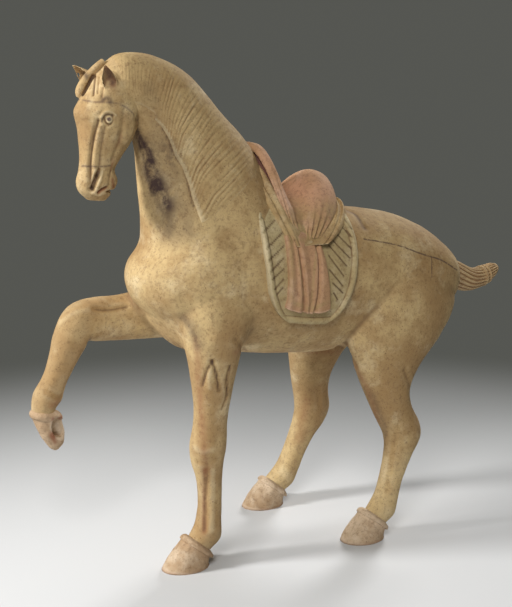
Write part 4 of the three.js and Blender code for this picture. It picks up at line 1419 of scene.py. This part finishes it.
@dataclass
class Hooves:
    """The four hooves, each with its raised coronet ring."""

    soles: tuple[tuple[str, float, float], ...] = (
        ("left_fore_hoof", -161.0, -37.0), ("left_hind_hoof", 50.0, -74.0), ("right_hind_hoof", 7.0, 75.0),
    )
    standing: tuple[Station, ...] = (
        Station(15, 25, 230, 16, 18, 15), Station(14, 22.5, 230, 19.5, 22, 19),
        Station(12, 19.5, 232, 20.5, 22.5, 20), Station(11, 18, 234, 19, 19.5, 18),
        Station(5, 9, 250, 23, 21.5, 20), Station(0, 0, 270, 28, 26, 21.5),
    )
    raised: tuple[Station, ...] = (
        Station(-285, 177, 262, 12, 11, 12, y=45), Station(-284.5, 174.5, 262, 15.5, 15, 15.5, y=45),
        Station(-284.5, 171.5, 262, 17.3, 17, 17.3, y=45), Station(-284, 168, 262, 17, 17, 17, y=45),
        Station(-283.5, 165.5, 264, 14.8, 15.5, 15.5, y=45), Station(-282, 158, 270, 13.5, 15.5, 15, y=44.5),
        Station(-279.5, 149, 276, 11.5, 14.5, 13.5, y=44), Station(-276, 137, 282, 7.5, 9.5, 8.5, y=43),
        Station(-275, 131.5, 284, 2.5, 3.5, 3.5, y=43),
    )
    hollow_seen: Seen = (59.0, 427.5)
    hollow_faces: Point = (0.3, -0.88, -0.35)
    hollow_reach: Point = (8.5, 15.5, 7.0)

    def carve(self, clay: Clay) -> None:
        """Hollows the raised hoof's sole.

        Args:
            clay: the hoof, whose skin is pushed in to the hollow's floor.
        """
        middle = clay.tree().ray_cast(Vector(SIGHT.place), SIGHT.ray(self.hollow_seen))[0]
        out = Vector(self.hollow_faces).normalized()
        across = out.cross(Vector((-0.35, 0.0, 1.0))).normalized()
        axes = np.array([across, across.cross(out), out]).T
        local = (clay.points() - np.array(middle)) @ axes / np.array(self.hollow_reach)
        inward = np.array([0.0, 0.0, -1.0 / self.hollow_reach[2]])
        along, size = local @ inward, inward @ inward
        depth = np.sum(local**2, axis=1) - 1.0
        push = (-along + np.sqrt(np.maximum(along**2 - size * depth, 0.0))) / size
        facing = clay.normals() @ np.array(out) > -0.2
        clay.place(clay.points() - (np.where((depth < 0) & facing, push, 0.0))[:, None] * np.array(out))

    def build(self) -> list[bpy.types.Object]:
        """Models the hooves.

        Returns:
            The pieces.
        """
        pieces = []
        for name, x, y in self.soles:
            clay = Clay([tube(Form(list(self.standing), x, y), 48, 80)])
            above = smooth_step(clay.points()[:, 2], 0.5, 4.0)
            clay.press(above * (0.7 * ripple(clay.points(), 11.0, 1.9) + 0.3 * ripple(clay.points(), 4.0, 7.7)))
            dress(clay, {Layer.RUST: 0.5 * (1.0 - smooth_step(clay.points()[:, 2], 0.0, 4.0))}, gain=2.0)
            pieces.append(clay.finish(name, HORN.material()))
        clay = Clay([tube(Form(list(self.raised)), 90, 110)])
        clay.press(0.6 * ripple(clay.points(), 9.0, 4.9))
        self.carve(clay)
        clay.relax(1)
        dress(clay, {
            Layer.RUST: clay.measure([Mark(((60, 418), (64, 416)), 2.6, 0.9), Mark(((52, 436), (55, 442)), 3, 0.8)]),
            Layer.PALE: clay.measure([Mark(((57, 424), (60, 432)), 3.0, 0.5)]),
        }, gain=2.0)
        pieces.append(clay.finish("right_fore_hoof", HORN.material()))
        return pieces


@dataclass
class Tail:
    """The bound tail, its strands twisted and its tip turned up."""

    line: Form = Form([
        Station(306, 282, 200, 5, 5, 6), Station(299, 279, 195, 9, 9, 10), Station(286, 274, 190, 11, 12, 12),
        Station(264, 271, 172, 14, 15, 14), Station(242, 277, 160, 17, 17, 15),
        Station(216, 288, 158, 18, 18, 16), Station(196, 296, 158, 14, 14, 14),
    ])
    strands: float = 9.0
    twist: float = 60.0
    depth: float = 1.3

    def build(self) -> bpy.types.Object:
        """Models the tail.

        Returns:
            The piece.
        """
        clay = Clay([tube(self.line, 150, 120)])
        t, angle = self.line.locate(clay.points())
        phase = np.radians(self.strands * (angle + self.twist * t))
        bound = np.exp(-(((t - 0.36) / 0.025) ** 2)) + np.exp(-(((t - 0.3) / 0.02) ** 2))
        fade = smooth_step(t, 0.02, 0.1)
        clay.press(fade * (-self.depth * np.abs(np.cos(phase)) ** 3 * (1.0 - 0.8 * bound) + 1.2 * bound))
        dress(clay, {Layer.RUST: np.full(len(t), 0.3)}, gain=2.6)
        return clay.finish("tail", BUFF.material())


@dataclass
class Studio:
    """A floor whose pale colour fades with distance into a glowing grey, painted light falloff; soft studio light;
    and the photograph's camera.
    """

    floor: Point = (0.62, 0.635, 0.66)
    distant_glow: Point = (0.092, 0.094, 0.084)
    painted_light_centre: Point = (-0.17, -0.28, 0.0)

    def lay_floor(self) -> None:
        """Lays the floor, whose pale colour fades with distance from the horse into a glowing grey like the room
        behind it: painted light falloff.
        """
        bm = bmesh.new()
        bmesh.ops.create_grid(bm, x_segments=1, y_segments=1, size=15.0)
        mesh = bpy.data.meshes.new("floor")
        bm.to_mesh(mesh)
        bm.free()
        piece = bpy.data.objects.new("floor", mesh)
        bpy.context.collection.objects.link(piece)
        r = Recipe("floor_painted_falloff")
        node = r.tree.nodes.new("ShaderNodeVectorMath")
        node.operation = "DISTANCE"
        node.inputs[1].default_value = self.painted_light_centre
        r.tree.links.new(r.where, node.inputs[0])
        # Pale near the horse and a glowing grey further off: painted light falloff.
        share = r.window(node.outputs["Value"], 0.3, 1.2)
        pale = r.tree.nodes.new("ShaderNodeBsdfDiffuse")
        pale.inputs["Color"].default_value = (*self.floor, 1.0)
        glow = r.tree.nodes.new("ShaderNodeEmission")
        glow.inputs["Color"].default_value = (*self.distant_glow, 1.0)
        blend = r.tree.nodes.new("ShaderNodeMixShader")
        output = r.tree.nodes.new("ShaderNodeOutputMaterial")
        r.tree.links.new(share, blend.inputs["Fac"])
        r.tree.links.new(pale.outputs["BSDF"], blend.inputs[1])
        r.tree.links.new(glow.outputs["Emission"], blend.inputs[2])
        r.tree.links.new(blend.outputs["Shader"], output.inputs["Surface"])
        mesh.materials.append(r.material)

    def hang(self, name: str, place: Point, size: float, power: float, colour: Point) -> None:
        """Hangs one soft light that shines on the horse.

        Args:
            name: the light's name.
            place: where it hangs, in metres.
            size: its width in metres.
            power: its strength in watts.
            colour: its colour.
        """
        light = bpy.data.lights.new(name, "AREA")
        light.shape = "DISK"
        light.size = size
        light.energy = power
        light.color = colour
        lamp = bpy.data.objects.new(name, light)
        lamp.location = place
        aim = Vector((0.0, 0.0, 0.28)) - Vector(place)
        lamp.rotation_euler = aim.to_track_quat("-Z", "Y").to_euler()
        bpy.context.collection.objects.link(lamp)

    def set_camera(self) -> None:
        """Sets the camera where the photograph was taken from."""
        data = bpy.data.cameras.new("camera")
        data.sensor_width = 36.0
        data.lens = 36.0 * SIGHT.focal / 607.0
        camera = bpy.data.objects.new("camera", data)
        camera.location = Vector(SIGHT.place) * MM
        camera.rotation_euler = SIGHT.ahead().to_track_quat("-Z", "Y").to_euler()
        bpy.context.collection.objects.link(camera)
        bpy.context.scene.camera = camera

    def build(self) -> None:
        """Sets up the floor, the lights and the camera."""
        self.lay_floor()
        self.hang("left", (-1.75, 0.55, 1.15), 0.45, 42.0, (1.0, 0.98, 0.94))
        self.hang("front", (-1.5, -1.7, 1.9), 1.1, 44.0, (1.0, 0.97, 0.92))
        self.hang("back", (1.7, 0.9, 1.5), 0.4, 34.0, (1.0, 0.98, 0.95))
        world = bpy.data.worlds.new("studio")
        world.use_nodes = True
        world.node_tree.nodes["Background"].inputs["Color"].default_value = (*self.distant_glow, 1.0)
        world.node_tree.nodes["Background"].inputs["Strength"].default_value = 1.0
        bpy.context.scene.world = world
        bpy.context.scene.view_settings.view_transform = "Standard"
        self.set_camera()


def main() -> None:
    """Builds the horse piece by piece, then the studio round it."""
    logging.basicConfig(level=logging.INFO, format="%(message)s")
    _, tree = HorseBody().build()
    barrel = Barrel(tree)
    Mane().build(tree)
    HorseHead().build()
    Blanket().build(barrel)
    Saddle().build(barrel)
    Hooves().build()
    Tail().build()
    Studio().build()


if __name__ == "__main__":
    main()
